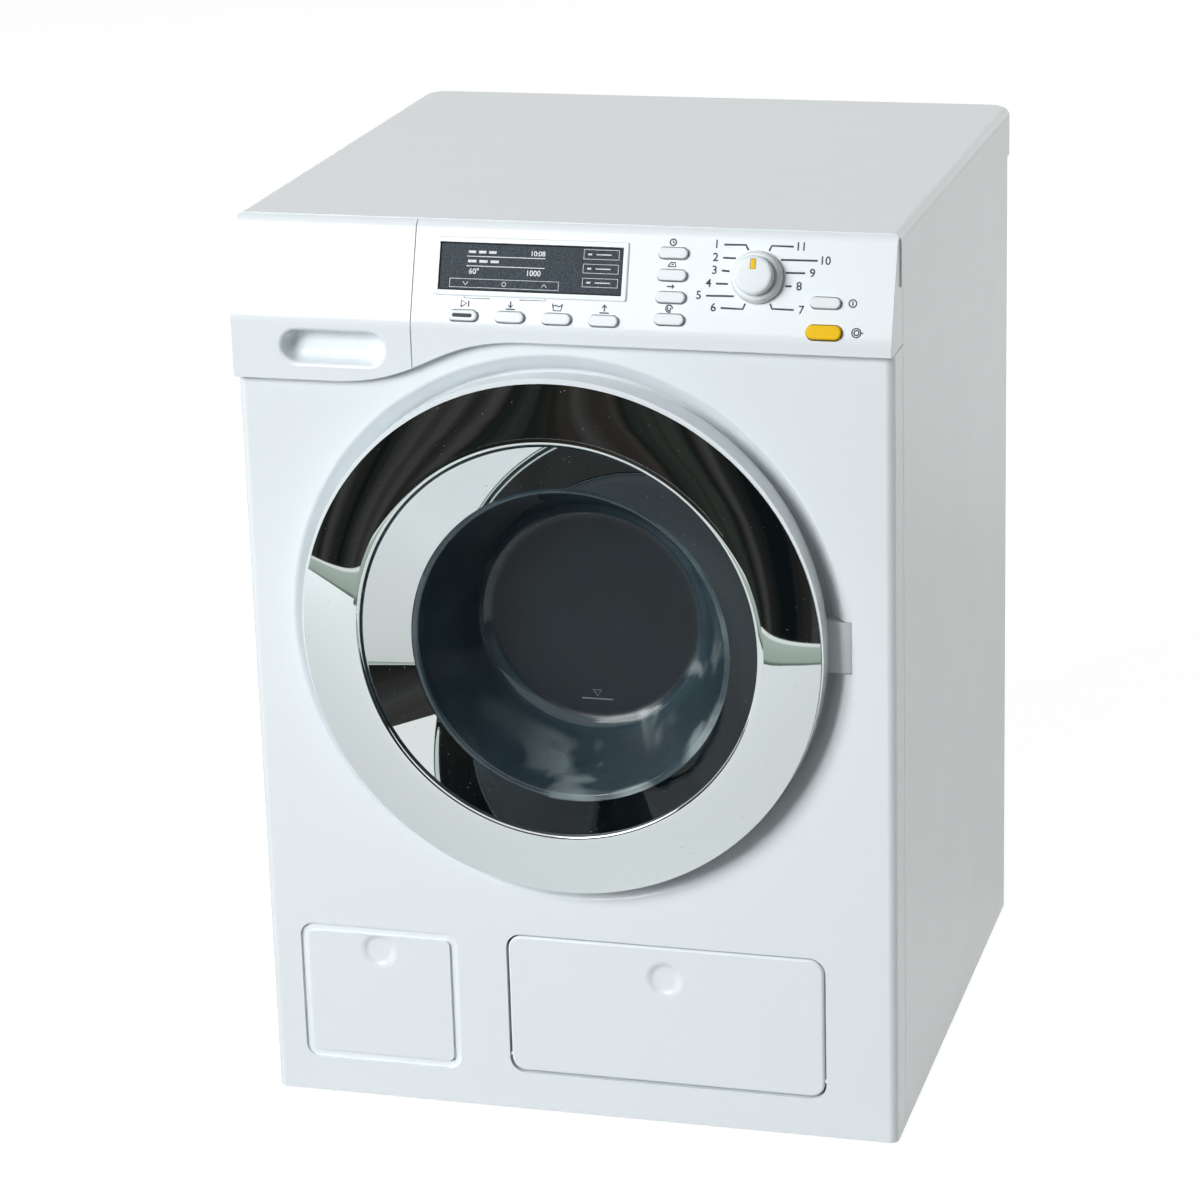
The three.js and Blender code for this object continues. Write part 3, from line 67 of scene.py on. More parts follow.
case_low, case_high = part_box("cabinet_shell")
panel_low, panel_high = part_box("front_panel")
drawer_low, drawer_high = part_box("drawer_front")
lid_low, lid_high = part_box("top_lid")
frame_low, frame_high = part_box("door_frame")
bowl_low, bowl_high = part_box("door_bowl")
gap = 0.3 * mm
half = case_high.x
front_y = panel_low.y
wrap_y = drawer_high.y
seam_z = panel_high.z + gap
dip_z = drawer_low.z
top_z = lid_high.z
door_z = (frame_low.z + frame_high.z) / 2
axis_z = (bowl_low.z + bowl_high.z) / 2
print("half width %.1f mm, door centre %.1f mm, drum axis %.1f mm" % (half / mm, door_z / mm, axis_z / mm))

# %% [markdown]
# Every piece starts as a primitive at its own size and place. It could be shaped by hand with the
# mouse. Here the same operators are called in code, so that a change of size runs through all of
# it. An operator works on all that is selected, so each step begins by selecting nothing.

# %% Placing
def fresh():
    """Object mode, with nothing selected."""
    if bpy.context.object and bpy.context.object.mode != "OBJECT":
        bpy.ops.object.mode_set(mode="OBJECT")
    bpy.ops.object.select_all(action="DESELECT")


def activate(piece):
    """Selects one piece alone."""
    fresh()
    piece.select_set(True)
    bpy.context.view_layer.objects.active = piece


def placed(name):
    """Names the newest primitive and moves its place into its mesh."""
    piece = bpy.context.object
    piece.name = name
    bpy.ops.object.transform_apply(location=True, rotation=True, scale=True)
    return piece


def moved(piece, place, turn=(0, 0, 0), scale=(1, 1, 1)):
    """Moves, turns or scales a piece, mesh and all."""
    piece.location = place
    piece.rotation_euler = turn
    piece.scale = scale
    activate(piece)
    bpy.ops.object.transform_apply(location=True, rotation=True, scale=True)
    return piece


def copied(piece, shift, name=None):
    """A copy with its own mesh, a shift away."""
    activate(piece)
    bpy.ops.object.duplicate(linked=False)
    copy = moved(bpy.context.object, shift)
    if name:
        copy.name = name
    return copy


def slab(name, low, high):
    """A box between two corners."""
    fresh()
    low, high = Vector(low), Vector(high)
    bpy.ops.mesh.primitive_cube_add(size=1, location=(low + high) / 2, scale=high - low)
    return placed(name)


def rod(name, middle, radius, length, turn=(0, 0, 0), steps=48):
    """A cylinder, upright unless it is turned."""
    fresh()
    bpy.ops.mesh.primitive_cylinder_add(
        vertices=steps, radius=radius, depth=length, location=middle, rotation=turn)
    return placed(name)


quarter = math.pi / 2
print("play between two pieces: %.1f mm" % (gap / mm))

# %% [markdown]
# In edit mode, faces and edges are picked by where they are or which way they point. Numbers of
# vertices would do too, but they change with every cut, and a place doesn't. A few small tests say
# which ones are meant, and a bevel then rounds them.

# %% Picking and rounding
hair = 0.01 * mm
weld = 0.002 * mm


def edit(piece, kind, test):
    """Enters edit mode and selects the faces or edges whose middle and direction pass a test."""
    activate(piece)
    bpy.ops.object.mode_set(mode="EDIT")
    bpy.ops.mesh.select_mode(type=kind)
    bpy.ops.mesh.select_all(action="DESELECT")
    mesh = bmesh.from_edit_mesh(piece.data)
    if kind == "FACE":
        for face in mesh.faces:
            face.select_set(test(face.calc_center_median(), face.normal))
    else:
        for line in mesh.edges:
            start, end = (corner.co for corner in line.verts)
            if test((start + end) / 2, (end - start).normalized()):
                line.select_set(True)
    bmesh.update_edit_mesh(piece.data)


def along(axis):
    """A test for edges that run along an axis."""
    return lambda middle, way: abs(getattr(way, axis)) > 0.999


def past(axis, level):
    """A test for what lies at a level or past it."""
    return lambda middle, way: getattr(middle, axis) > level - hair


def before(axis, level):
    """A test for what lies at a level or before it."""
    return lambda middle, way: getattr(middle, axis) < level + hair


def both(first, second):
    """Two tests in one."""
    return lambda middle, way: first(middle, way) and second(middle, way)


def round_edges(piece, width, steps, test):
    """Bevels the edges that pass a test."""
    edit(piece, "EDGE", test)
    bpy.ops.mesh.bevel(offset=width, segments=steps, affect="EDGES", clamp_overlap=True)
    bpy.ops.mesh.select_all(action="SELECT")
    bpy.ops.mesh.remove_doubles(threshold=weld)
    fresh()
    return piece


def pill_box(name, low, high, corner, axis="y", steps=8):
    """A box whose four edges along one axis are rounded."""
    return round_edges(slab(name, low, high), corner, steps, along(axis))


print("a test forgives %.0f micrometres" % (hair / mm * 1000))

# %% [markdown]
# Holes and joins are booleans: a second piece is made, cuts the first, and is thrown away. Faces
# could be cut and bridged by hand, but a cutter's size says plainly what is cut. No moulded edge is
# quite sharp, so the edges that are left get a fine bevel at the end. Large faces weigh most where
# they meet small ones, so that they look flat and the roundings look round.

# %% Cutting and finishing
over = 1 * mm


def applied(piece, kind, **settings):
    """Adds a modifier and applies it."""
    activate(piece)
    change = piece.modifiers.new(kind.title(), kind)
    for name, value in settings.items():
        setattr(change, name, value)
    bpy.ops.object.modifier_apply(modifier=change.name)
    return piece


def carve(piece, *tools, operation="DIFFERENCE"):
    """Cuts a piece with tools, or joins them to it, and removes the tools."""
    for tool in tools:
        applied(piece, "BOOLEAN", object=tool, operation=operation, solver="EXACT")
        bpy.data.objects.remove(tool)
    return piece


def smooth(piece, width=0, angle=30):
    """Softens the sharp edges that are left, and shades the rest as one surface."""
    if width:
        applied(piece, "BEVEL", width=width, segments=2, limit_method="ANGLE",
                angle_limit=math.radians(angle), use_clamp_overlap=True, harden_normals=False)
    activate(piece)
    bpy.ops.object.shade_smooth_by_angle(angle=math.radians(angle))
    return applied(piece, "WEIGHTED_NORMAL", mode="FACE_AREA", weight=50, keep_sharp=True)


def finished(piece, body, slot, *nodes, finish=None):
    """Gives a piece its finish and its body, and hides the plain solids that it stands for."""
    piece.data.materials.clear()
    piece.data.materials.append(finish or finishes[slot])
    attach(piece, body)
    if nodes:
        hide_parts(*nodes)
    print(piece.name, len(piece.data.polygons), "faces")
    return piece


print("a cutter runs %.0f mm past what it cuts" % (over / mm))

# %% [markdown]
# Round pieces are turned about the drum's direction. Spin or a screw modifier could sweep a profile
# round. One circle is extruded station by station instead, each new ring moved back and resized
# about its own middle, as one would with E and S, because a ring can then also slide down. The
# profile's bends are rounded first, so that a highlight runs round each edge.

# %% Turned pieces
bend_steps = 5


def bend_profile(points):
    """A profile of (radius, depth, bend): each corner is rounded by its bend."""
    made = []
    last = len(points) - 1
    for i, (radius, depth, bend) in enumerate(points):
        here = Vector((radius, depth))
        if bend <= 0 or i in (0, last):
            made.append(here)
            continue
        back = Vector(points[i - 1][:2]) - here
        ahead = Vector(points[i + 1][:2]) - here
        start = here + back.normalized() * min(bend, back.length * 0.49)
        end = here + ahead.normalized() * min(bend, ahead.length * 0.49)
        for k in range(bend_steps + 1):
            t = k / bend_steps
            made.append(start * (1 - t) ** 2 + here * 2 * t * (1 - t) + end * t ** 2)
    return made


def turned(name, points, centre_z, steps=160, x=0, drop=None, closed=True):
    """Extrudes a circle along a profile. Depths are measured back from the front panel's face, and
    drop gives how far a ring of that depth sits below the centre."""
    drop = drop or (lambda depth: 0)
    profile = bend_profile(points)
    fresh()
    radius, depth = profile[0]
    bpy.ops.mesh.primitive_circle_add(
        vertices=steps, radius=radius, location=(x, front_y + depth, centre_z - drop(depth)),
        rotation=(quarter, 0, 0))
    piece = placed(name)
    bpy.ops.object.mode_set(mode="EDIT")
    bpy.ops.mesh.select_mode(type="EDGE")
    bpy.ops.mesh.select_all(action="SELECT")
    if not closed:
        bpy.ops.mesh.edge_face_add()
    for new_radius, new_depth in profile[1:]:
        move = {"value": (0, new_depth - depth, drop(depth) - drop(new_depth))}
        bpy.ops.mesh.extrude_edges_move(TRANSFORM_OT_translate=move)
        scale = new_radius / radius
        middle = (x, front_y + new_depth, centre_z - drop(new_depth))
        bpy.ops.transform.resize(value=(scale, 1, scale), center_override=middle)
        radius, depth = new_radius, new_depth
    if not closed:
        bpy.ops.mesh.edge_face_add()
    bpy.ops.mesh.select_all(action="SELECT")
    bpy.ops.mesh.remove_doubles(threshold=weld)
    bpy.ops.mesh.normals_make_consistent(inside=False)
    fresh()
    return piece


print("a bend is drawn in", bend_steps, "steps")

# %% [markdown]
# A finish is a small net of nodes. It could be drawn in the shader editor. In code, one class wraps
# a socket, so that shader maths reads as plain sums, and one method adds every other node.

# %% Shader sums
def colour(red, green, blue):
    """A colour as a screen shows it, from 0 to 255, as the light values that the shader needs."""
    def linear(level):
        level = level / 255
        return level / 12.92 if level <= 0.04045 else ((level + 0.055) / 1.055) ** 2.4
    return (linear(red), linear(green), linear(blue), 1)


class Wire:
    """A socket that sums can be written with."""

    def __init__(self, finish, socket):
        self.finish = finish
        self.socket = socket

    def sum(self, operation, first, second):
        return self.finish.node("ShaderNodeMath", {"operation": operation}, {0: first, 1: second})

    def __add__(self, other):
        return self.sum("ADD", self, other)

    def __radd__(self, other):
        return self.sum("ADD", other, self)

    def __sub__(self, other):
        return self.sum("SUBTRACT", self, other)

    def __rsub__(self, other):
        return self.sum("SUBTRACT", other, self)

    def __mul__(self, other):
        return self.sum("MULTIPLY", self, other)

    def __rmul__(self, other):
        return self.sum("MULTIPLY", other, self)

    def __gt__(self, other):
        return self.sum("GREATER_THAN", self, other)


print("a middle grey is %.3f in light" % colour(128, 128, 128)[0])

# %% [markdown]
# A material and the world both hold a tree of nodes, so one class can build either. Each finish could
# add its nodes one by one. The methods below are the few steps that return in nearly all of them:
# noise, a mix of two colours, a stretched range, a bump, and the shader that takes them all.

# %% A net of nodes
class Finish:
    """The net of a material or of the world, built one call at a time."""

    def __init__(self, owner):
        self.owner = owner
        owner.use_nodes = True
        self.tree = owner.node_tree
        self.tree.nodes.clear()

    def node(self, kind, settings=None, sockets=None, out=0):
        """Adds a node of a type, with its settings and the values or links of its sockets."""
        made = self.tree.nodes.new(kind)
        settings = dict(settings or {})
        stops = settings.pop("stops", None)
        for name, value in settings.items():
            setattr(made, name, value)
        if stops:
            ramp = made.color_ramp
            while len(ramp.elements) < len(stops):
                ramp.elements.new(0.5)
            for element, (place, shade) in zip(ramp.elements, stops):
                element.position = place
                element.color = shade
        for key, value in (sockets or {}).items():
            if isinstance(value, Wire):
                self.tree.links.new(value.socket, made.inputs[key])
            else:
                made.inputs[key].default_value = value
        return Wire(self, made.outputs[out]) if made.outputs else None

    def place(self, axis=None):
        """Where a point of the object lies, or how far along one axis."""
        spot = self.node("ShaderNodeTexCoord", out="Object")
        return self.node("ShaderNodeSeparateXYZ", None, {"Vector": spot}, axis) if axis else spot

    def noise(self, scale, detail=3, roughness=0.5, **sockets):
        named = {"Scale": scale, "Detail": detail, "Roughness": roughness, **sockets}
        named["Vector"] = sockets.get("Vector") or self.place()
        return self.node("ShaderNodeTexNoise", None, named, "Fac")

    def blend(self, factor, first, second):
        """Two colours mixed."""
        return self.node("ShaderNodeMix", {"data_type": "RGBA"}, {0: factor, 6: first, 7: second}, 2)

    def ramp(self, value, low, high):
        """A value stretched so that low becomes 0 and high becomes 1."""
        return self.node("ShaderNodeMapRange", {"clamp": True}, {
            "Value": value, "From Min": low, "From Max": high, "To Min": 0.0, "To Max": 1.0})

    def shades(self, value, stops):
        """Colours by value, from stops of (value, colour)."""
        return self.node("ShaderNodeValToRGB", {"stops": stops}, {"Fac": value}, "Color")

    def bump(self, height, strength, distance):
        return self.node("ShaderNodeBump", None, {
            "Height": height, "Strength": strength, "Distance": distance})

    def output(self, shader, kind="ShaderNodeOutputMaterial"):
        """Links a shader to the output, and gives back the material or world."""
        self.node(kind, None, {"Surface": shader})
        return self.owner

    def surface(self, **sockets):
        """The shader of a solid. Names are the shader's own, with _ for a space."""
        named = {name.replace("_", " "): value for name, value in sockets.items()}
        return self.output(self.node("ShaderNodeBsdfPrincipled", None, named))

    def glow(self, shade, strength=1.0):
        """Plain light, for a card that is only seen in a mirror."""
        return self.output(self.node("ShaderNodeEmission", None, {"Color": shade, "Strength": strength}))


def new_finish(name):
    return Finish(bpy.data.materials.new(name))


def darker(shade, share):
    return tuple(level * share for level in shade[:3]) + (1,)


finishes = {}
print("a darker white:", [round(level, 2) for level in darker((1, 1, 1, 1), 0.88)])

# %% [markdown]
# A toy like this is moulded in glossy plastic, so its colours are nearly even. One flat colour would
# look drawn. What makes it look real is small: the surface ripples a little, it is duller in
# patches, and its colour is not quite the same everywhere. One recipe serves every plastic.

# %% Moulded plastic
def plastic(name, shade, dull, ripple, uneven, **extra):
    """Plastic of a colour, with its dullness, the height of its ripple and its unevenness."""
    made = new_finish(name)
    patches = made.noise(22, 4, 0.6)
    fine = made.noise(900, 2, 0.5)
    base = made.blend(made.ramp(patches, 0.35, 0.65), darker(shade, 1 - uneven), shade)
    normal = made.bump(fine * 0.6 + made.noise(140, 2) * 0.4, ripple, 0.05 * mm)
    return made.surface(Base_Color=base, Roughness=dull + 0.05 * made.ramp(patches, 0.4, 0.8),
                        Normal=normal, Coat_Roughness=0.05, IOR=1.48, **extra)


finishes["white"] = plastic("white_plastic", colour(241, 246, 248), 0.18, 0.03, 0.006, Coat_Weight=0.15)
finishes["key"] = plastic("key_plastic", colour(234, 239, 240), 0.2, 0.05, 0.01)
finishes["grey"] = plastic("grey_plastic", colour(196, 201, 204), 0.3, 0.06, 0.03)
finishes["drawer_grey"] = plastic("pale_grey_plastic", colour(219, 224, 227), 0.28, 0.05, 0.02)
finishes["yellow"] = plastic(
    "yellow_plastic", colour(247, 196, 2), 0.24, 0.05, 0.03, Specular_IOR_Level=0.25)
finishes["rubber"] = plastic("seal_rubber", colour(92, 96, 99), 0.62, 0.2, 0.08)
finishes["silver"] = plastic("silver_paint", colour(186, 190, 193), 0.34, 0.08, 0.04, Metallic=0.35)
finishes["nylon"] = plastic(
    "gear_nylon", colour(232, 229, 217), 0.42, 0.1, 0.03, Subsurface_Weight=0.05)
finishes["cell"] = plastic("battery_sleeve", colour(66, 84, 104), 0.32, 0.05, 0.05, Metallic=0.3)
finishes["black"] = plastic("black_plastic", colour(42, 44, 46), 0.42, 0.15, 0.08)
print(len(finishes), "plastics")

# %% [markdown]
# The inner works are steel, a sintered bronze bush and a board under green lacquer. Scratches could
# be painted as a picture. Noise is used for the metals and a brick pattern for the board's copper
# lines, because both need no file and have no seams.

# %% Bare metal and the circuit board
def metal(name, shade, dull):
    """Metal with fine marks that dull it unevenly."""
    made = new_finish(name)
    marks = made.noise(420, 5, 0.7)
    patches = made.noise(35, 3)
    base = made.blend(made.ramp(patches, 0.3, 0.7), darker(shade, 0.88), shade)
    return made.surface(Base_Color=base, Metallic=1.0, Roughness=dull + 0.12 * marks * patches,
                        Normal=made.bump(marks, 0.08, 0.05 * mm))


def board_lacquer():
    made = new_finish("board_lacquer")
    lines = made.node("ShaderNodeTexBrick", {"offset": 0.35}, {
        "Vector": made.place(), "Scale": 160.0, "Mortar Size": 0.03, "Color1": colour(38, 92, 62),
        "Color2": colour(33, 84, 56), "Mortar": colour(70, 132, 92)}, "Color")
    return made.surface(Base_Color=lines, Roughness=0.35 + 0.1 * made.noise(60), IOR=1.5)


finishes["steel"] = metal("plain_steel", colour(196, 200, 203), 0.24)
finishes["motor_case"] = metal("motor_case", colour(170, 173, 176), 0.32)
finishes["bronze"] = metal("sintered_bronze", colour(181, 140, 84), 0.4)
finishes["board"] = board_lacquer()
print("metals and board:", "steel", "motor_case", "bronze", "board")

# %% [markdown]
# The ring round the porthole is plastic with a bright plating. A perfect mirror would do for a first
# look, but plating has specks of dust, soft smears from fingers and a slight wave, and it is these
# that show where its surface is. A slow noise bends the mirror, and two others dull it.

# %% Bright plating
def bright_plating():
    made = new_finish("bright_plating")
    specks = made.ramp(made.noise(1500, 2, 0.5), 0.73, 0.78)
    smears = made.ramp(made.noise(30, 4, 0.65), 0.5, 0.8)
    base = made.blend(specks, colour(217, 223, 223), colour(176, 178, 178))
    return made.surface(Base_Color=base, Metallic=1.0, Roughness=0.015 + 0.03 * smears + 0.35 * specks,
                        Normal=made.bump(made.noise(45, 2, 0.4), 0.05, 0.08 * mm))


finishes["chrome"] = bright_plating()
print("plating:", finishes["chrome"].name)

# %% [markdown]
# The bowl is smoked clear plastic. Real glass shading alone would need a whole room to mirror. Here
# the wavy glints on its wall are a painted reflection, pale swirls of noise in its colour, strongest
# low at the right. Its end is given a darker colour, which is painted shade, and a duller finish; it is told
# apart from the wall by its depth.

# %% Smoked plastic
end_start, end_full = front_y + 29 * mm, front_y + 29.5 * mm


def smoked_plastic():
    made = new_finish("smoked_plastic")
    streaks = made.ramp(made.noise(26, 4, 0.55), 0.3, 0.7)
    end = made.ramp(made.place("Y"), end_start, end_full)
    low = made.ramp(made.place("Z"), axis_z + 15 * mm, axis_z - 25 * mm)
    right = made.ramp(made.place("X"), -20 * mm, 12 * mm)
    # Pale swirls, strongest low at the right, are a painted reflection of glints on the wall.
    painted_glints = made.ramp(made.noise(34, 2, 0.45, Distortion=1.6), 0.47, 0.6)
    painted_glints = painted_glints * (0.1 + 0.9 * (low * right))
    wall_shade = made.blend(streaks, colour(66, 86, 96), colour(98, 122, 130))
    wall_shade = made.blend(painted_glints, wall_shade, colour(206, 220, 222))
    # The end's darker colour is painted shade; the wall keeps the paler colour of the same plastic.
    painted_dark_end = made.blend(streaks, colour(18, 34, 44), colour(26, 44, 54))
    normal = made.bump(made.noise(42, 2, 0.4) * (1 - end), 0.5, 0.6 * mm)
    return made.surface(Base_Color=made.blend(end, wall_shade, painted_dark_end), Roughness=0.03 + 0.34 * end,
                        Normal=normal, Transmission_Weight=0.6, IOR=1.49)


finishes["bowl"] = smoked_plastic()
print("bowl:", finishes["bowl"].name)

# %% [markdown]
# The display is a dark film behind a clear front, and the signs beside the keys are screen-printed.
# Both could be pictures laid on the plastic. The film is given a fine grain of paler points, and ink
# is a colour that is thinner in places, so that close up neither looks like a flat fill.

# %% Film and ink
def display_film():
    made = new_finish("display_film")
    grain = made.ramp(made.noise(2600, 2, 0.6), 0.45, 0.7)
    clouds = made.ramp(made.noise(60, 3), 0.3, 0.7)
    base = made.blend(grain, colour(43, 52, 58), colour(82, 92, 99))
    base = made.blend(clouds * 0.25, base, colour(36, 44, 50))
    return made.surface(Base_Color=base, Roughness=0.42 + 0.1 * grain, IOR=1.5, Specular_IOR_Level=0.2)


def ink(name, shade):
    made = new_finish(name)
    thin = made.ramp(made.noise(1300, 3, 0.6), 0.35, 0.75)
    pale = tuple(min(1, level * 1.6 + 0.02) for level in shade[:3]) + (1,)
    return made.surface(Base_Color=made.blend(thin, shade, pale), Roughness=0.45 + 0.1 * thin)


finishes["screen"] = display_film()
black_ink = ink("black_ink", colour(40, 44, 52))
pale_ink = ink("pale_ink", colour(214, 220, 222))
faint_ink = ink("faint_ink", colour(88, 104, 110))
print(len(finishes), "finishes and 3 inks")

# %% [markdown]
# The pieces that nobody sees from outside keep their plain solids. They could be modelled again as
# well, but it would not show. Each still gets the finish of what it is made of, which a row of the
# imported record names.

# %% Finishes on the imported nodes
for row in frame["record"]["subparts"]:
    node = frame["nodes"][row["node"]]
    node.data.materials.clear()
    node.data.materials.append(finishes[row["material_slot"]])

# %% [markdown]
# The seam under the drawer and the control panel is low at the left, swings up in an S and then
# runs straight. It could be cut with a row of boxes. A flat Bezier outline with level handles gives
# the smooth S with two knots, and its thickness turns it into a cutter for both sides of the seam.

# %% The seam
swing_left = 28 * mm - half
swing_right = 84 * mm - half
seam_reach = 25 * mm


def bezier(points, handle, closed):
    """A Bezier curve with a knot at each point."""
    fresh()
    bpy.ops.curve.primitive_bezier_curve_add()
    shape = bpy.context.object
    line = shape.data.splines[0]
    if len(points) > 2:
        line.bezier_points.add(len(points) - 2)
    line.use_cyclic_u = closed
    for knot, point in zip(line.bezier_points, points):
        knot.co = (*point, 0)
        knot.handle_left_type = handle
        knot.handle_right_type = handle
    return shape


def seam_block(name, lift, top):
    """Everything above the seam, or below it, as a solid that runs past the front both ways."""
    level = (swing_right - swing_left) / 2
    side = half + over
    rows = [(-side, dip_z + lift, 0), (swing_left, dip_z + lift, level), (swing_right, seam_z + lift, level),
            (side, seam_z + lift, 0), (side, top, 0), (-side, top, 0)]
    shape = bezier([row[:2] for row in rows], "FREE", True)
    line = shape.data.splines[0]
    line.resolution_u = 32
    for knot, (x, z, reach) in zip(line.bezier_points, rows):
        knot.handle_left = (x - reach, z, 0)
        knot.handle_right = (x + reach, z, 0)
    shape.data.dimensions = "2D"
    shape.data.fill_mode = "BOTH"
    shape.data.extrude = seam_reach
    bpy.ops.object.convert(target="MESH")
    shape = moved(bpy.context.object, (0, front_y, 0), (quarter, 0, 0))
    shape.name = name
    bpy.ops.object.mode_set(mode="EDIT")
    bpy.ops.mesh.select_all(action="SELECT")
    bpy.ops.mesh.remove_doubles(threshold=weld)
    bpy.ops.mesh.dissolve_limited(angle_limit=math.radians(0.2))
    bpy.ops.mesh.normals_make_consistent(inside=False)
    fresh()
    return shape


print("the seam rises %.1f mm" % ((seam_z - dip_z) / mm))

# %% [markdown]
# The front carries a flap at the lower right, and at the lower left a groove that only looks like a
# second one. Both have the same soft corners and a shallow mark for a finger. Two helpers draw the
# outline and the mark, so that the hole, the flap and the groove are sure to match.

# %% Flap outlines and finger marks
wall = 2.6 * mm
flap_low, flap_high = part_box("service_flap")
flap_pin, flap_corner, flap_play = 2 * mm, 4 * mm, 0.6 * mm
plate_low = Vector((flap_low.x + flap_pin, front_y, flap_low.z))
plate_high = Vector((flap_high.x - flap_pin, front_y + wall, flap_high.z))
mock_low = Vector((9.3 * mm - half, front_y, 11.3 * mm))
mock_high = Vector((56.6 * mm - half, front_y, 53.4 * mm))
groove_width, groove_depth, groove_round = 2.4 * mm, 0.9 * mm, 0.7 * mm
mark_radius, mark_deep = 5.6 * mm, 0.8 * mm
mock_mark_down, flap_mark_down = 6.9 * mm, 9.5 * mm


def flap_shape(name, low, high, grow, start, end):
    """The rounded outline of a flap, grown by a margin, between two depths."""
    return pill_box(name, (low.x - grow, front_y + start, low.z - grow),
                    (high.x + grow, front_y + end, high.z + grow), flap_corner + grow)


def finger_mark(low, high, down):
    """A shallow finger mark with a soft rim, some way down from a flap's upper edge."""
    profile = [(mark_radius, -over, 0), (mark_radius, 0, 0.2 * mm), (4.7 * mm, 0.15 * mm, 0.8 * mm),
               (3.5 * mm, mark_deep, 0.8 * mm), (0.3 * mm, 0.85 * mm, 0)]
    return turned("mark", profile, high.z - down, 64, (low.x + high.x) / 2, closed=False)


def make_groove():
    """The cutter of the groove: a frame whose inner edges are rounded."""
    groove = flap_shape("groove", mock_low, mock_high, 0, -over, groove_depth)
    carve(groove, flap_shape("plug", mock_low, mock_high, -groove_width, -2 * over, wall))
    return round_edges(groove, groove_round, 4, past("y", front_y + groove_depth))


print("the flap is %.1f by %.1f mm" % tuple((plate_high - plate_low).xz / mm))

# %% [markdown]
# The front moulding is one big shell: a flat face with a round dish for the door. It could be
# extruded from a plane with the holes drawn in. It starts as a box instead, whose front corners are
# bevelled, is cut along the seam, and is then hollowed and cut as the cores of its mould would do
# it, so that every wall has its real thickness.

# %% The front moulding
edge = 2.5 * mm
dish_radius, dish_floor, dish_depth = 78.7 * mm, 73.8 * mm, 5 * mm
dish_z = door_z - 0.6 * mm
dish_back = dish_depth + wall
dish_middle, porthole_radius = 60 * mm, 52 * mm
hinge_x, hinge_half, hinge_depth, knuckle = 77.8 * mm, 7.2 * mm, 2.2 * mm, 2 * mm
boss_wide, boss_high, room_left = 7 * mm, 13.6 * mm, 70 * mm
hook_low, hook_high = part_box("latch_hook")
hook_play = 1.4 * mm


def front_shell():
    """The hollow box of the front, with a cup behind the dish and a boss behind the hinge."""
    shell = slab("front_moulding", (-half, front_y, case_low.z), (half, wrap_y, seam_z + over))
    round_edges(shell, edge, 8, both(along("z"), before("y", front_y)))
    carve(shell, seam_block("above", -gap, top_z))
    carve(shell, slab("inner", (-half + wall, front_y + wall, case_low.z + wall),
                      (half - wall, wrap_y + over, top_z)))
    cup_radius = dish_radius + wall
    cup = turned("cup", [(cup_radius, wall / 2, 0), (cup_radius, dish_back, 0)], dish_z, closed=False)
    boss = slab("boss", (hinge_x - boss_wide, front_y + wall / 2, door_z - boss_high),
                (hinge_x + boss_wide, front_y + dish_back, door_z + boss_high))
    return carve(shell, cup, boss, operation="UNION")


def make_front():
    shell = front_shell()
    dish = turned("dish", [
        (dish_radius + 0.5 * mm, -over, 0), (dish_radius + 0.5 * mm, 0, 0.1 * mm),
        (dish_radius - 0.1 * mm, 0.25 * mm, 0.5 * mm), (dish_floor, dish_depth, 0.8 * mm),
        (dish_middle, dish_depth, 0)], dish_z, 192, closed=False)
    hole = turned("porthole", [(porthole_radius, -over, 0), (porthole_radius, dish_back + over, 0)],
                  axis_z, 128, closed=False)
    room_deep = hinge_depth + knuckle + gap
    room = slab("room", (room_left, front_y - over, door_z - hinge_half - gap),
                (hinge_x + knuckle + gap, front_y + room_deep, door_z + hinge_half + gap))
    catch = slab("catch", (hook_low.x - hook_play, front_y, hook_low.z - 2 * gap),
                 (hook_high.x + hook_play, front_y + dish_back + over, hook_high.z + 2 * gap))
    opening = flap_shape("opening", plate_low, plate_high, flap_play, -over, wall + over)
    mark = finger_mark(mock_low, mock_high, mock_mark_down)
    carve(shell, dish, hole, room, catch, opening, make_groove(), mark)
    finished(smooth(shell, 0.25 * mm), "machine", "white", "front_panel")


make_front()

# %% [markdown]
# The service flap is a flat plate with soft corners, hung on two small pins. The pins could be
# pieces of their own. One rod through the plate is simpler and turns with it just the same.

# %% The service flap
pin_radius, pin_up, plate_round = 0.6 * mm, 4.6 * mm, 0.8 * mm


def make_flap():
    plate = pill_box("flap", plate_low, plate_high, flap_corner)
    round_edges(plate, plate_round, 5, before("y", front_y))
    carve(plate, finger_mark(plate_low, plate_high, flap_mark_down))
    middle = ((flap_low.x + flap_high.x) / 2, front_y + wall / 2, flap_low.z + pin_up)
    pins = rod("pins", middle, pin_radius, flap_high.x - flap_low.x, (0, quarter, 0), 16)
    carve(plate, pins, operation="UNION")
    finished(smooth(plate, angle=32), "flap", "white", "service_flap")


make_flap()

# %% [markdown]
# The drawer's face and the control panel are one moulding cut in two: an upright foot, a face that
# leans back, and a rounded top edge. A profile could be extruded sideways. A box is bisected at the
# crease and its upper front edge pushed back instead, because its side edges can then be rounded in
# one go, round the crease and all.

# %% The leaning fascia
lean = math.radians(20.07)
proud, skin = 3 * mm, 2 * mm
crease_z = seam_z + 4 * mm
split_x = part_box("control_panel")[0].x
top_round, crease_round = 3.7 * mm, 1.2 * mm
fascia_back = lid_low.y - gap
face_y = front_y - proud


def leaning_block(name, x0, x1, start, crease, top, back):
    """A box whose front leans back above the crease."""
    block = slab(name, (x0, start, dip_z - over), (x1, back, top))
    edit(block, "FACE", lambda middle, normal: True)
    bpy.ops.mesh.bisect(plane_co=(0, 0, crease), plane_no=(0, 0, 1))
    edit(block, "EDGE", both(past("z", top), before("y", start)))
    bpy.ops.transform.translate(value=(0, (top - crease) * math.tan(lean), 0))
    fresh()
    return block


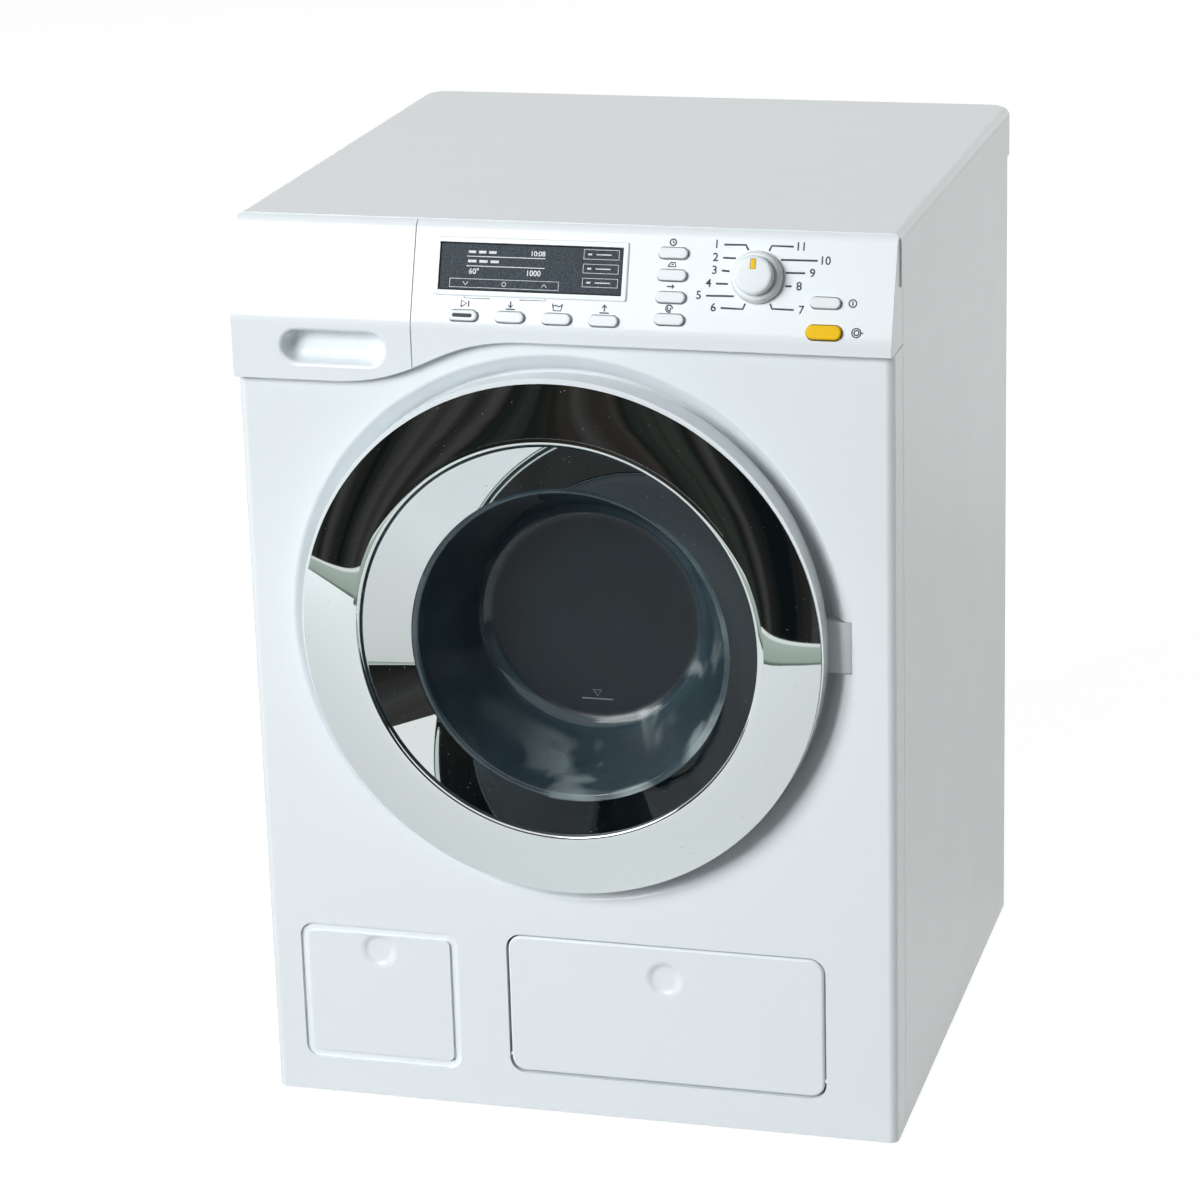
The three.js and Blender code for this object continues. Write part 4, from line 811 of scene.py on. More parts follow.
def fascia_shell(name, x0, x1, corners):
    """A shell of the fascia, its outer corners rounded: at the left with -1, at the right with 1."""
    shell = leaning_block(name, x0, x1, face_y, crease_z, top_z, wrap_y)
    outer = half * corners
    set_back = (top_z - crease_z) * math.tan(lean)

    def outer_side(middle, way):
        return (abs(middle.x - outer) < hair and middle.y < wrap_y - hair
                and middle.z > dip_z - over + hair)

    top_edge = both(along("x"), both(past("z", top_z), before("y", face_y + set_back)))
    crease = both(along("x"), both(past("z", crease_z), before("z", crease_z)))
    round_edges(shell, top_round * math.tan((quarter - lean) / 2), 10, top_edge)
    round_edges(shell, crease_round, 4, crease)
    round_edges(shell, edge, 8, outer_side)
    carve(shell, slab("ledge", (-half - over, fascia_back, lid_low.z - gap),
                      (half + over, wrap_y + over, top_z + over)))
    carve(shell, seam_block("below", 0, 0))
    lift = skin * (1 - math.cos(lean)) / math.tan(lean) - skin * math.sin(lean)
    inner = leaning_block("inner", x0 + skin, x1 - skin, face_y + skin, crease_z + lift,
                          top_z - skin, wrap_y + over)
    carve(inner, seam_block("floor", skin, 0))
    return carve(shell, inner)


print("the face leans back %.1f degrees" % math.degrees(lean))

# %% [markdown]
# The drawer's grip is a pill-shaped hollow that a finger hooks into. A plain boolean would leave
# its rim sharp. The cutter's inner end is inset step by step instead, each step deeper than the
# last: first round the rim, then down the walls, then into a rounded floor.

# %% The drawer's grip
grip_x, grip_z = 29.1 * mm - half, dip_z + 9.3 * mm
grip_wide, grip_high, grip_deep, grip_wall = 29.2 * mm, 8.8 * mm, 6.4 * mm, 1.4 * mm
grip_rim, grip_floor, grip_draft = 1.3 * mm, 2.4 * mm, 0.15 * mm
rim_steps, floor_steps = 8, 6


def grip_shape(name, grow, start, end):
    """The pill of the grip, grown by a margin, between two depths behind the face."""
    return pill_box(name, (grip_x - grip_wide / 2 - grow, face_y + start, grip_z - grip_high / 2 - grow),
                    (grip_x + grip_wide / 2 + grow, face_y + end, grip_z + grip_high / 2 + grow),
                    (grip_high / 2 + grow) * 0.9999, steps=14)


def grip_room():
    """The hollow: a rim that turns in softly, walls with a little draft and a rounded floor."""
    room = grip_shape("room", grip_rim, -over, 0)
    edit(room, "FACE", lambda middle, normal: normal.y > 0.9)
    turns = [quarter * i / rim_steps for i in range(1, rim_steps + 1)]
    stations = [(grip_rim * (1 - math.sin(turn)), grip_rim * (1 - math.cos(turn))) for turn in turns]
    for i in range(floor_steps + 1):
        turn = quarter * i / floor_steps
        stations.append((-grip_draft - grip_floor * (1 - math.cos(turn)),
                         grip_deep - grip_floor * (1 - math.sin(turn))))
    grow, deep = grip_rim, 0.0
    for new_grow, new_deep in stations:
        bpy.ops.mesh.inset(thickness=grow - new_grow, depth=new_deep - deep, use_even_offset=False)
        grow, deep = new_grow, new_deep
    fresh()
    return room


print("the grip is %.1f mm wide and %.1f mm deep" % (grip_wide / mm, grip_deep / mm))

# %% [markdown]
# The drawer's face is the left end of the fascia. A cup is joined behind it first, so that the
# hollow of the grip has walls. The grip is smooth already, so the fine bevel that softens the other
# edges leaves it out: a bevel modifier would take them all, and the operator takes a selection.

# %% The drawer's face
def in_grip(point):
    return (abs(point.x - grip_x) < grip_wide / 2 + grip_rim + mm
            and abs(point.z - grip_z) < grip_high / 2 + grip_rim + mm)


def soften_outside(piece, width, inside):
    """Bevels the sharp edges, but for those whose middle lies inside a region."""
    edit(piece, "EDGE", lambda middle, way: False)
    bpy.ops.mesh.edges_select_sharp(sharpness=math.radians(30))
    mesh = bmesh.from_edit_mesh(piece.data)
    for line in mesh.edges:
        if inside((line.verts[0].co + line.verts[1].co) / 2):
            line.select_set(False)
    bmesh.update_edit_mesh(piece.data)
    bpy.ops.mesh.bevel(offset=width, segments=2, affect="EDGES", clamp_overlap=True)
    fresh()


def make_drawer_face():
    shell = fascia_shell("drawer_face", -half, drawer_high.x, -1)
    cup = grip_shape("cup", grip_wall, skin / 2, grip_deep + grip_wall)
    carve(cup, slab("trim", (-half, face_y, 0), (half, wrap_y, dip_z + skin / 2)))
    carve(shell, cup, operation="UNION")
    carve(shell, grip_room())
    soften_outside(shell, 0.2 * mm, in_grip)
    finished(smooth(shell), "drawer", "white", "drawer_front")


make_drawer_face()

# %% [markdown]
# What sits on the leaning face is drawn flat, with x along the panel and s up its slope, and is
# then turned into place. It could be built at the slant, but flat its sizes are the ones that a
# ruler on the panel would read.

# %% Working in the plane of the panel
flange_top = -skin - gap


def to_panel(piece):
    """Turns a piece drawn flat into the plane of the panel."""
    return moved(piece, (0, face_y, crease_z), (quarter - lean, 0, 0))


def pill(name, x, s, width, height, low, high, steps=10):
    """A flat pill between two heights above the panel."""
    return pill_box(name, (x - width / 2, s - height / 2, low), (x + width / 2, s + height / 2, high),
                    height / 2 * 0.99, "z", steps)


def disc(name, x, s, radius, low, high):
    """A flat disc between two heights above the panel."""
    return rod(name, (x, s, (low + high) / 2), radius, high - low)


print("flanges sit %.1f mm below the face" % (-flange_top / mm))

# %% [markdown]
# A key is a pill with a soft top, a flange that keeps it from falling out and a stem that reaches
# the switch below. Four stand in the low row, four in the column, and two at the right. Keys of one
# shape are modelled once and copied, as a mould with several nests would make them. The start key
# alone has a dark mark in a slot, and the flanges near the crease are trimmed to clear it.

# %% Keys
small_key, large_key = (8.1 * mm, 2.9 * mm), (9.5 * mm, 3.8 * mm)
low_row = [((-25.4 + 13.05 * i) * mm, 2.8 * mm) for i in range(4)]
column = [(31.8 * mm, (3.9 + 5.9 * i) * mm) for i in range(4)]
power_spot, door_spot = (73.8 * mm, 9.9 * mm), (73.8 * mm, 2.1 * mm)
low_names = ["start_%s", "water_in_%s", "wash_%s", "water_out_%s"]
column_names = ["option_%s_4", "option_%s_3", "option_%s_2", "option_%s_1"]
low_keys = list(zip(low_names, low_row))
key_groups = [
    (low_keys[:1], small_key, "key"),
    (low_keys[1:], small_key, "key"),
    (list(zip(column_names, column)) + [("power_%s", power_spot)], small_key, "key"),
    ([("door_%s", door_spot)], large_key, "yellow"),
]
key_proud, key_round = 1.4 * mm, 0.75 * mm
flange_wide, flange_low = 1.1 * mm, flange_top - 1.1 * mm
stem_radius, stem_end = 1.2 * mm, -5.1 * mm
crease_clear, trim_reach = 0.6 * mm, 8 * mm
slot_deep, mark_low, mark_high = 0.45 * mm, 0.44 * mm, 0.3 * mm


def key_cap(name, x, s, size):
    """One key, drawn flat."""
    width, height = size
    top = pill(name, x, s, width, height, flange_low, key_proud)
    round_edges(top, key_round, 5, past("z", key_proud))
    foot = pill("foot", x, s, width + 2 * flange_wide, height + 2 * flange_wide, flange_low, flange_top)
    carve(top, foot, disc("stem", x, s, stem_radius, stem_end, flange_top), operation="UNION")
    trim = min(crease_clear - s, -height / 2)
    return carve(top, slab("trim", (x - width, s - trim_reach, flange_low - over),
                           (x + width, s + trim, flange_top)))


def start_mark(top, x, s):
    """Cuts a slot into the start key and lays a dark mark into it."""
    carve(top, pill("slot", x, s, 5.6 * mm, 1.1 * mm, key_proud - slot_deep, key_proud + over, 6))
    mark = pill("start_mark", x, s, 5.5 * mm, 1.0 * mm, key_proud - mark_low, key_proud - mark_high, 6)
    finished(to_panel(smooth(mark)), "start_key", "black")


def make_keys(group, size, slot):
    """Models the first key of a group, copies it for the others, and lays all in the panel."""
    first, (x, s) = group[0]
    model = key_cap("cap_" + first % "button", x, s, size)
    if first == "start_%s":
        start_mark(model, x, s)
    smooth(model)
    caps = [model] + [copied(model, (new_x - x, new_s - s, 0), "cap_" + name % "button")
                      for name, (new_x, new_s) in group[1:]]
    for (name, spot), cap in zip(group, caps):
        finished(to_panel(cap), name % "key", slot, name % "button")


for group, size, slot in key_groups:
    make_keys(group, size, slot)

# %% [markdown]
# The control panel is the right part of the same shell, with a raised frame round the display and
# a hole for each key and for the knob's shaft. The holes could follow the keys' meshes. They are
# drawn with the same helper as the keys, a little larger, so the play is even all round.

# %% The control panel
screen_left, screen_right, screen_low, screen_high = -33 * mm, 18.2 * mm, 9.6 * mm, 22.6 * mm
bezel, bezel_rise = 1.5 * mm, 0.5 * mm
knob_x, knob_s, shaft_hole = 55 * mm, 16 * mm, 2.7 * mm


def make_panel():
    shell = fascia_shell("panel_face", split_x, half, 1)
    rim = slab("rim", (screen_left - bezel, screen_low - bezel, -skin / 2),
               (screen_right + bezel, screen_high + bezel, bezel_rise))
    round_edges(rim, 0.7 * mm, 4, along("z"))
    round_edges(rim, 0.45 * mm, 3, past("z", bezel_rise))
    carve(shell, to_panel(rim), operation="UNION")
    window = slab("window", (screen_left, screen_low, -skin - over), (screen_right, screen_high, over))
    holes = [pill("hole", x, s, width + 2 * gap, height + 2 * gap, -skin - 2 * over, over)
             for group, (width, height), slot in key_groups for name, (x, s) in group]
    shaft = disc("shaft", knob_x, knob_s, shaft_hole, -skin - over, over)
    carve(shell, *[to_panel(tool) for tool in [window, shaft] + holes])
    finished(smooth(shell, 0.18 * mm), "machine", "white", "control_panel")


make_panel()

# %% [markdown]
# The lid is a shallow tray turned upside down. It could be carved out with a smaller box. Its outer
# edges are bevelled while it is still a box, and then the faces that don't show are opened and the
# rest is given a wall, which follows every rounding by itself.

# %% The lid
lid_edge, rear_edge, lid_wall = 2.5 * mm, 7 * mm, 2 * mm


def hollow(piece, thick, test):
    """Opens the faces that pass a test and gives what is left a wall, inwards."""
    edit(piece, "FACE", test)
    bpy.ops.mesh.delete(type="FACE")
    fresh()
    return applied(piece, "SOLIDIFY", thickness=thick, offset=-1, use_even_offset=True)


def make_lid():
    box = slab("lid", lid_low, lid_high)
    round_edges(box, rear_edge, 8, both(along("z"), past("y", lid_high.y)))

    def top_rim(middle, way):
        return middle.z > top_z - hair and (
            abs(middle.x) > lid_high.x - rear_edge or middle.y > lid_high.y - rear_edge)

    round_edges(box, lid_edge, 8, top_rim)
    hollow(box, lid_wall, lambda middle, normal: normal.z < -0.9 or normal.y < -0.9)
    finished(smooth(box, 0.25 * mm), "machine", "white", "top_lid")


make_lid()

# %% [markdown]
# Sides and back are one moulding, with a collar that the lid's skirt goes over, sound slots for the
# speaker and four wells for screws. It could be opened and given a wall like the lid, but the collar
# is narrower than the box, so the inside is cut with two smaller blocks, each with its own corners.

# %% The casing
case_wall, collar_down = 2.2 * mm, 2.2 * mm
case_back = case_high.y
speaker_low, speaker_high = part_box("speaker")
slot_count, slot_pitch, slot_half, slot_rise = 6, 4 * mm, 13 * mm, 0.8 * mm
screw_well, screw_sunk = 3.4 * mm, 1.3 * mm
screw_rows = (case_low.z + 15 * mm, lid_low.z - 17 * mm)
screw_places = [(side * (half - 13 * mm), z) for z in screw_rows for side in (-1, 1)]


def rod_back(name, x, z, radius, low, high):
    """A short rod that stands on the back wall, between two heights above it."""
    return rod(name, (x, case_back + (low + high) / 2, z), radius, high - low, (quarter, 0, 0))


def rear_box(name, low, high, corner):
    """A box whose rear corners are rounded."""
    return round_edges(slab(name, low, high), corner, 8, both(along("z"), past("y", high[1])))


def sound_slots():
    """Cutters for the slots behind the speaker."""
    middle = (speaker_low + speaker_high) / 2
    slots = []
    for row in range(slot_count):
        z = middle.z + (row - (slot_count - 1) / 2) * slot_pitch
        slots.append(pill_box("slot", (middle.x - slot_half, case_back - 4 * mm, z - slot_rise),
                              (middle.x + slot_half, case_back + over, z + slot_rise), 0.78 * mm))
    return slots


def make_casing():
    shelf, start = lid_low.z - gap, wrap_y + gap
    inset = lid_wall + gap - (lid_high.x - half)
    neck, inner = half - inset, half - case_wall
    box = rear_box("casing", (-half, start, case_low.z), (half, case_back, shelf), rear_edge)
    collar = rear_box("collar", (-neck, start, shelf - case_wall),
                      (neck, case_back - inset, top_z - collar_down - gap), rear_edge - inset)
    carve(box, collar, operation="UNION")
    body = rear_box("body", (-inner, start - over, -over),
                    (inner, case_back - case_wall, shelf - case_wall), rear_edge - case_wall)
    throat = rear_box("throat", (-neck + case_wall, start - over, shelf - case_wall - over),
                      (neck - case_wall, case_back - inset - case_wall, top_z),
                      rear_edge - inset - case_wall)
    wells = [rod_back("well", x, z, screw_well, -screw_sunk, over) for x, z in screw_places]
    carve(box, body, throat, *sound_slots(), *wells)
    finished(smooth(box, 0.2 * mm), "machine", "white", "cabinet_shell")


make_casing()

# %% [markdown]
# Four cross-slotted screws sit in wells of the back. A whole screw could be made with its thread,
# but only heads show: each is a short rod with a soft rim, cut by two crossed boxes. One is modelled
# and copied into the other wells.

# %% Screws
screw_radius, screw_high = 2.7 * mm, 0.9 * mm
cross_long, cross_thin, cross_deep = 1.7 * mm, 0.35 * mm, 0.55 * mm


def make_screws():
    x, z = screw_places[0]
    top = screw_high - screw_sunk
    screw = rod_back("back_screw", x, z, screw_radius, -screw_sunk, top)
    round_edges(screw, 0.3 * mm, 3, past("y", case_back + top))
    for wide, high in ((cross_long, cross_thin), (cross_thin, cross_long)):
        carve(screw, slab("cross", (x - wide, case_back + top - cross_deep, z - high),
                          (x + wide, case_back, z + high)))
    smooth(screw)
    copies = [copied(screw, (new_x - x, 0, new_z - z)) for new_x, new_z in screw_places[1:]]
    for piece in [screw] + copies:
        finished(piece, "machine", "steel")


make_screws()

# %% [markdown]
# The door is three turned pieces on one hinge arm. First comes its white frame: a band that steps
# in behind its front edge, a flat plate inside, and the arm with its barrel. The band and the plate
# could be two pieces. As one closed profile they have no seam, as in the moulding.

# %% The door's frame
door_radius, door_rim, door_back, door_plate = 74 * mm, 8 * mm, 3.6 * mm, 1.6 * mm
door_wall, door_step = 1.8 * mm, 1.1 * mm
plate_inner, bore_radius, bore_long = 25 * mm, 1.2 * mm, 30 * mm


def make_door_frame():
    inner, rear = door_radius - door_wall, door_radius - door_step
    seat, face = bowl_high.x + 2 * gap, door_back - door_plate
    rim = turned("door_rim", [
        (door_radius, -door_rim, 0), (door_radius, -1.4 * mm, 0.5 * mm), (rear, -0.6 * mm, 0.4 * mm),
        (rear, door_back, 0.8 * mm), (plate_inner, door_back, 0), (plate_inner, face, 0),
        (inner - door_step, face, 0.3 * mm), (inner - door_step, -2.2 * mm, 0.4 * mm),
        (inner, -3.0 * mm, 0.4 * mm), (inner, -door_rim, 0.3 * mm), (door_radius, -door_rim, 0)],
        door_z, 192)
    arm = slab("arm", (rear - door_wall / 2, front_y + hinge_depth - knuckle, door_z - hinge_half),
               (hinge_x, front_y + hinge_depth + knuckle, door_z + hinge_half))
    hinge = (hinge_x, front_y + hinge_depth, door_z)
    carve(rim, arm, rod("barrel", hinge, knuckle, 2 * hinge_half), operation="UNION")
    hole = turned("hole", [(seat, -over, 0), (seat, door_back + over, 0)], axis_z, 128, closed=False)
    carve(rim, hole, rod("bore", hinge, bore_radius, bore_long, steps=24))
    finished(smooth(rim, 0.15 * mm), "door", "white", "door_frame")


make_door_frame()

# %% [markdown]
# The plated ring is a shallow cone that falls to the outside, with a round lip and a funnel. The
# bowl sits a little lower than the ring, so the funnel's rings slide down as they go in. A mirror
# shows every dent of its surface, so the face is a smooth curve of many fine stations.

# %% The plated ring
ring_low, ring_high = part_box("chrome_ring")
ring_radius, ring_thick, ring_proud = ring_high.x, 1.7 * mm, front_y - ring_low.y
lip_radius, lip_round, throat_down = 56.2 * mm, 1.0 * mm, 0.9 * mm
crown_fall, crown_power, crown_steps = 2.9 * mm, 1.6, 28
back_radius, back_lift, ring_edge = 70 * mm, 0.4 * mm, 1.8 * mm
bowl_radius, bowl_start = 45.6 * mm, 2.3 * mm
bowl_drop = door_z - axis_z


def make_ring():
    top, outer, end = -ring_proud, -door_rim - gap, bowl_start - gap
    throat = top + throat_down

    def drop(depth):
        return bowl_drop * min(1, max(0, (depth - throat) / (end - throat)))

    crown = []
    for i in range(crown_steps + 1):
        share = 1 - i / crown_steps
        radius = lip_radius + (ring_radius - lip_radius) * share
        crown.append((radius, top + crown_fall * share ** crown_power, 0.5 * mm if i == 0 else 0))
    crown[-3:] = [(lip_radius + 2 * lip_round, top, 0), (lip_radius, top, lip_round)]
    ring = turned("plated_ring", [(ring_radius, outer, 0)] + crown + [
        (lip_radius - 0.1 * mm, top + 2 * lip_round, 0.5 * mm), (bowl_radius, end, 0),
        (bowl_radius + ring_thick, end, 0), (lip_radius + ring_thick, throat + ring_thick, 0.5 * mm),
        (back_radius, outer + back_lift, 0.5 * mm), (ring_radius - ring_edge, outer, 0),
        (ring_radius, outer, 0)], door_z, 256, drop=drop)
    finished(smooth(ring, angle=25), "door", "chrome", "chrome_ring")


make_ring()

# %% [markdown]
# The bowl narrows to a flat end, and a flange holds it behind the frame. It could be a thin sheet,
# but clear plastic shows its thickness, so it has an outer and an inner face.

# %% The bowl
bowl_end, bowl_floor, bowl_wall, bowl_tip = 34.4 * mm, 31.2 * mm, 1.6 * mm, 1 * mm


def make_bowl():
    inside, flange_back = bowl_floor - bowl_wall, bowl_start + bowl_wall
    bowl = turned("clear_bowl", [
        (bowl_tip, inside, 0), (bowl_end - bowl_wall, inside, 4.5 * mm),
        (bowl_radius - bowl_wall, bowl_start, 0.7 * mm), (bowl_high.x, bowl_start, 0.3 * mm),
        (bowl_high.x, flange_back, 0.3 * mm), (bowl_radius, flange_back, 0.5 * mm),
        (bowl_end, bowl_floor, 5.5 * mm), (bowl_tip, bowl_floor, 0)], axis_z, 192, closed=False)
    finished(smooth(bowl), "door", "bowl", "door_bowl")


make_bowl()

# %% [markdown]
# Behind the door lies the seal. It is a bellows: its profile bends inwards half way, so it folds
# when the drum shakes. A plain tube would be simpler, but its waist shows when the door is open.

# %% The seal
gasket_low, gasket_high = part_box("door_gasket")
seal_outer, seal_inner, seal_wall, seal_waist = 57 * mm, 50 * mm, 1.5 * mm, 3.4 * mm


def make_seal():
    start, end = gasket_low.y - front_y, gasket_high.y - front_y
    middle, waist = (start + end) / 2, seal_inner + seal_waist
    seal = turned("bellows", [
        (seal_inner, start, 0), (seal_outer, start, 0.4 * mm), (seal_outer, start + seal_wall, 0.5 * mm),
        (waist + seal_wall, middle, 1.5 * mm), (seal_outer, end - seal_wall, 0.5 * mm),
        (seal_outer, end, 0.4 * mm), (seal_inner, end, 0.6 * mm), (waist, middle, 2 * mm),
        (seal_inner, start, 0)], axis_z, 128)
    finished(smooth(seal), "machine", "rubber", "door_gasket")


make_seal()

# %% [markdown]
# The drum is silver plastic in three pieces, as it has to be to leave its moulds. The front wall is
# a disc with a soft mouth, whose low rim plugs into the tube. Drum and rim could be one profile,
# but the joint between them is a line that shows.

# %% The drum's front
mouth_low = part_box("drum_front")[0]
drum_radius, drum_thick, mouth_radius = 66 * mm, 1.6 * mm, 50 * mm


def make_drum_front():
    start = mouth_low.y - front_y
    step, deep = start + drum_thick, start + 2 * drum_thick
    plug = drum_radius - drum_thick - gap
    wall_ring = turned("drum_mouth_ring", [
        (drum_radius, start, 0), (drum_radius, step, 0.2 * mm), (plug, step, 0),
        (plug, deep, 0.3 * mm), (plug - drum_thick, deep, 0.3 * mm),
        (plug - drum_thick, step, 0.6 * mm), (mouth_radius + drum_thick, step, 0.6 * mm),
        (mouth_radius, deep, 0.5 * mm), (mouth_radius, start, 0.8 * mm),
        (drum_radius - drum_thick, start, 0.3 * mm), (drum_radius, start, 0)], axis_z, 160)
    finished(smooth(wall_ring), "drum", "silver", "drum_front")


make_drum_front()

# %% [markdown]
# The drum's wall is a tube with three staggered rows of round holes. A picture of holes would not
# let the water through or show their edges, so each is cut by a rod that points out from the axis.

# %% The drum's wall
drum_low, drum_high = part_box("drum_shell")
hole_radius, hole_long, hole_middle, hole_count = 2.8 * mm, 8 * mm, 65 * mm, 6


def make_drum():
    start, end = drum_low.y - front_y, drum_high.y - front_y
    inner = drum_radius - drum_thick
    shell = turned("drum_wall", [
        (inner, start, 0), (drum_radius, start, 0.3 * mm), (drum_radius, end, 0.3 * mm),
        (inner, end, 0.3 * mm), (inner, start, 0)], axis_z, 160)
    rods = []
    for row, share in enumerate((0.27, 0.55, 0.83)):
        for i in range(hole_count):
            turn = math.pi * (2 * i + row % 2) / hole_count + math.pi / 12
            middle = (hole_middle * math.sin(turn), drum_low.y + (end - start) * share,
                      axis_z + hole_middle * math.cos(turn))
            rods.append(rod("rod", middle, hole_radius, hole_long, (0, turn, 0), 20))
    carve(shell, *rods)
    finished(smooth(shell), "drum", "silver", "drum_shell")


make_drum()

# %% [markdown]
# The drum's back bows forward from its hub, which makes a thin plate stiff, and has two rings of
# holes. It shows through the bowl, so the bow is turned with soft bends and not left as a flat disc.

# %% The drum's back
hub_low, hub_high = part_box("drum_back")
back_thick, bore, hub = 2.2 * mm, 4.3 * mm, 9 * mm
back_rings = ((0.42, 5), (0.76, 10))


def make_drum_back():
    start, end = hub_low.y - front_y, hub_high.y - front_y
    outer = drum_radius - drum_thick - gap
    face = start + 2 * back_thick
    rear = face + back_thick
    back = turned("drum_back_plate", [
        (bore, start, 0), (hub, start, 0.8 * mm), (outer / 2, face, 3 * mm), (outer, face, 0.3 * mm),
        (outer, rear, 0.3 * mm), (outer / 2, rear, 3 * mm),
        (hub + back_thick, start + back_thick, 0.8 * mm), (hub, start + back_thick, 0.3 * mm),
        (hub, end, 0.3 * mm), (bore, end, 0.2 * mm), (bore, start, 0)], axis_z, 128)
    profile = [(hole_radius, start - over, 0), (hole_radius, rear + over, 0)]
    for share, count in back_rings:
        reach = share * outer
        for i in range(count):
            turn = math.tau * i / count
            carve(back, turned("rod", profile, axis_z + reach * math.sin(turn), 24,
                               reach * math.cos(turn), closed=False))
    finished(smooth(back), "drum", "silver", "drum_back")


make_drum_back()

# %% [markdown]
# The dial is a wide skirt with a smaller cap plugged into it, and a yellow insert that lies flush
# in a slot of the cap. One turned piece with painted colours would look alike from afar. Three
# pieces give the fine shadow lines where they meet.

# %% The dial
knob_base, skirt_radius, skirt_top, skirt_high = gap, 7.1 * mm, 6.5 * mm, 3.4 * mm
shaft_radius, shaft_end, socket_radius, socket_deep = 2.4 * mm, stem_end - 1.2 * mm, 2.9 * mm, 1.9 * mm
plug_radius, plug_long, cap_radius, cap_high = 2.6 * mm, 1.6 * mm, 5.3 * mm, 6.4 * mm
pointer_wide, pointer_long, pointer_deep, pointer_edge = 1.4 * mm, 2.6 * mm, 0.5 * mm, 0.8 * mm


def upright(name, points):
    """A turned piece drawn upright in the plane of the panel, about the dial's axis."""
    piece = moved(turned(name, points, 0, 96, closed=False), (0, -front_y, 0))
    return moved(piece, (knob_x, knob_s, 0), (quarter, 0, 0))


def make_dial():
    seat = skirt_high + gap
    skirt = upright("dial_skirt", [
        (shaft_radius, shaft_end, 0), (shaft_radius, knob_base, 0),
        (skirt_radius - 0.1 * mm, knob_base, 0.3 * mm), (skirt_radius, 0.9 * mm, 0.5 * mm),
        (skirt_top, skirt_high, 0.9 * mm), (socket_radius, skirt_high, 0),
        (socket_radius, skirt_high - socket_deep, 0)])
    cap = upright("dial_cap", [
        (plug_radius, seat - plug_long, 0), (plug_radius, seat, 0), (cap_radius, seat, 0.25 * mm),
        (cap_radius, cap_high, 1.1 * mm), (0.5 * mm, cap_high, 0)])
    tip = knob_s + cap_radius - pointer_edge - gap
    low = Vector((knob_x - pointer_wide / 2, tip - pointer_long, cap_high - pointer_deep))
    high = Vector((knob_x + pointer_wide / 2, tip, cap_high))
    play = Vector((1, 1, 1)) * (gap / 3)
    carve(cap, slab("slot", low - play, high + play + Vector((0, 0, over))))
    insert = slab("dial_pointer", low, high)
    round_edges(insert, 0.12 * mm, 2, past("z", cap_high))
    finished(to_panel(smooth(skirt)), "knob", "key", "knob_skirt")
    finished(to_panel(smooth(cap)), "knob", "key", "knob_cap")
    finished(to_panel(smooth(insert)), "knob", "yellow", "knob_pointer")


make_dial()

# %% [markdown]
# Four round feet stand under the base. Plain cylinders would nearly do, but even a small sharp edge
# without a highlight looks drawn, so the rim is softened. One foot is modelled and then copied.

# %% Feet
def make_feet():
    low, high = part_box("foot_1")
    foot = rod("round_foot_1", (low + high) / 2, (high.x - low.x) / 2, high.z - low.z, steps=64)
    round_edges(foot, 0.5 * mm, 3, before("z", low.z))
    smooth(foot)
    feet = [foot]
    for number in range(2, 5):
        feet.append(copied(foot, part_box("foot_%d" % number)[0] - low, "round_foot_%d" % number))
    for number, piece in enumerate(feet, 1):
        finished(piece, "machine", "rubber", "foot_%d" % number)


make_feet()

# %% [markdown]
# Print lies on the plastic as a very thin layer. It could be a picture in the shader. Drawn as real
# lines it stays crisp at any distance. A line of print is a round-ended tube along its points,
# pressed almost flat, and numbers are text made into mesh.

# %% Lines and numbers
ink_flat, ink_lift = 0.1, 0.01 * mm


def stroke(points, width, closed=False):
    """One line of print through points in millimetres, in the plane of the panel."""
    shape = bezier([(x * mm, s * mm) for x, s in points], "VECTOR", closed)
    shape.data.resolution_u = 1
    shape.data.bevel_depth = width / 2
    shape.data.bevel_resolution = 2
    shape.data.use_fill_caps = True
    bpy.ops.object.convert(target="MESH")
    return bpy.context.object


def loop(x, s, radius, start=0, end=360, steps=20):
    """Points round an arc, in degrees from the right."""
    turns = [math.radians(start + (end - start) * k / steps) for k in range(steps + 1)]
    return [(x + radius * math.cos(turn), s + radius * math.sin(turn)) for turn in turns]


def number(text, x, s, size):
    """A plain number, centred on a point in millimetres."""
    fresh()
    bpy.ops.object.text_add(location=(0, 0, 0))
    shape = bpy.context.object
    shape.data.body = text
    shape.data.size = size
    shape.data.align_x = "CENTER"
    shape.data.align_y = "CENTER"
    shape.data.extrude = 0.1 * mm
    shape.data.offset = size / 60
    bpy.ops.object.convert(target="MESH")
    return moved(bpy.context.object, (x * mm, s * mm, 0))


def print_group(name, strokes, shade, slot="black", lay=to_panel, body="machine"):
    """Joins strokes, presses them flat and lays them on the panel or on another face."""
    fresh()
    for piece in strokes:
        piece.select_set(True)
    bpy.context.view_layer.objects.active = strokes[0]
    bpy.ops.object.join()
    piece = bpy.context.object
    piece.name = name
    moved(piece, (0, 0, ink_lift), scale=(1, 1, ink_flat))
    finished(lay(piece), body, slot, finish=shade)


print("print is pressed to %.0f percent of its height" % (ink_flat * 100))

# %% [markdown]
# Round the dial stands a scale of numbers, each with a leader line that points at the dial. The
# lines could be spread by a formula, but they bend to keep clear of each other, so each is given by
# its points, from its outer end to the dial.

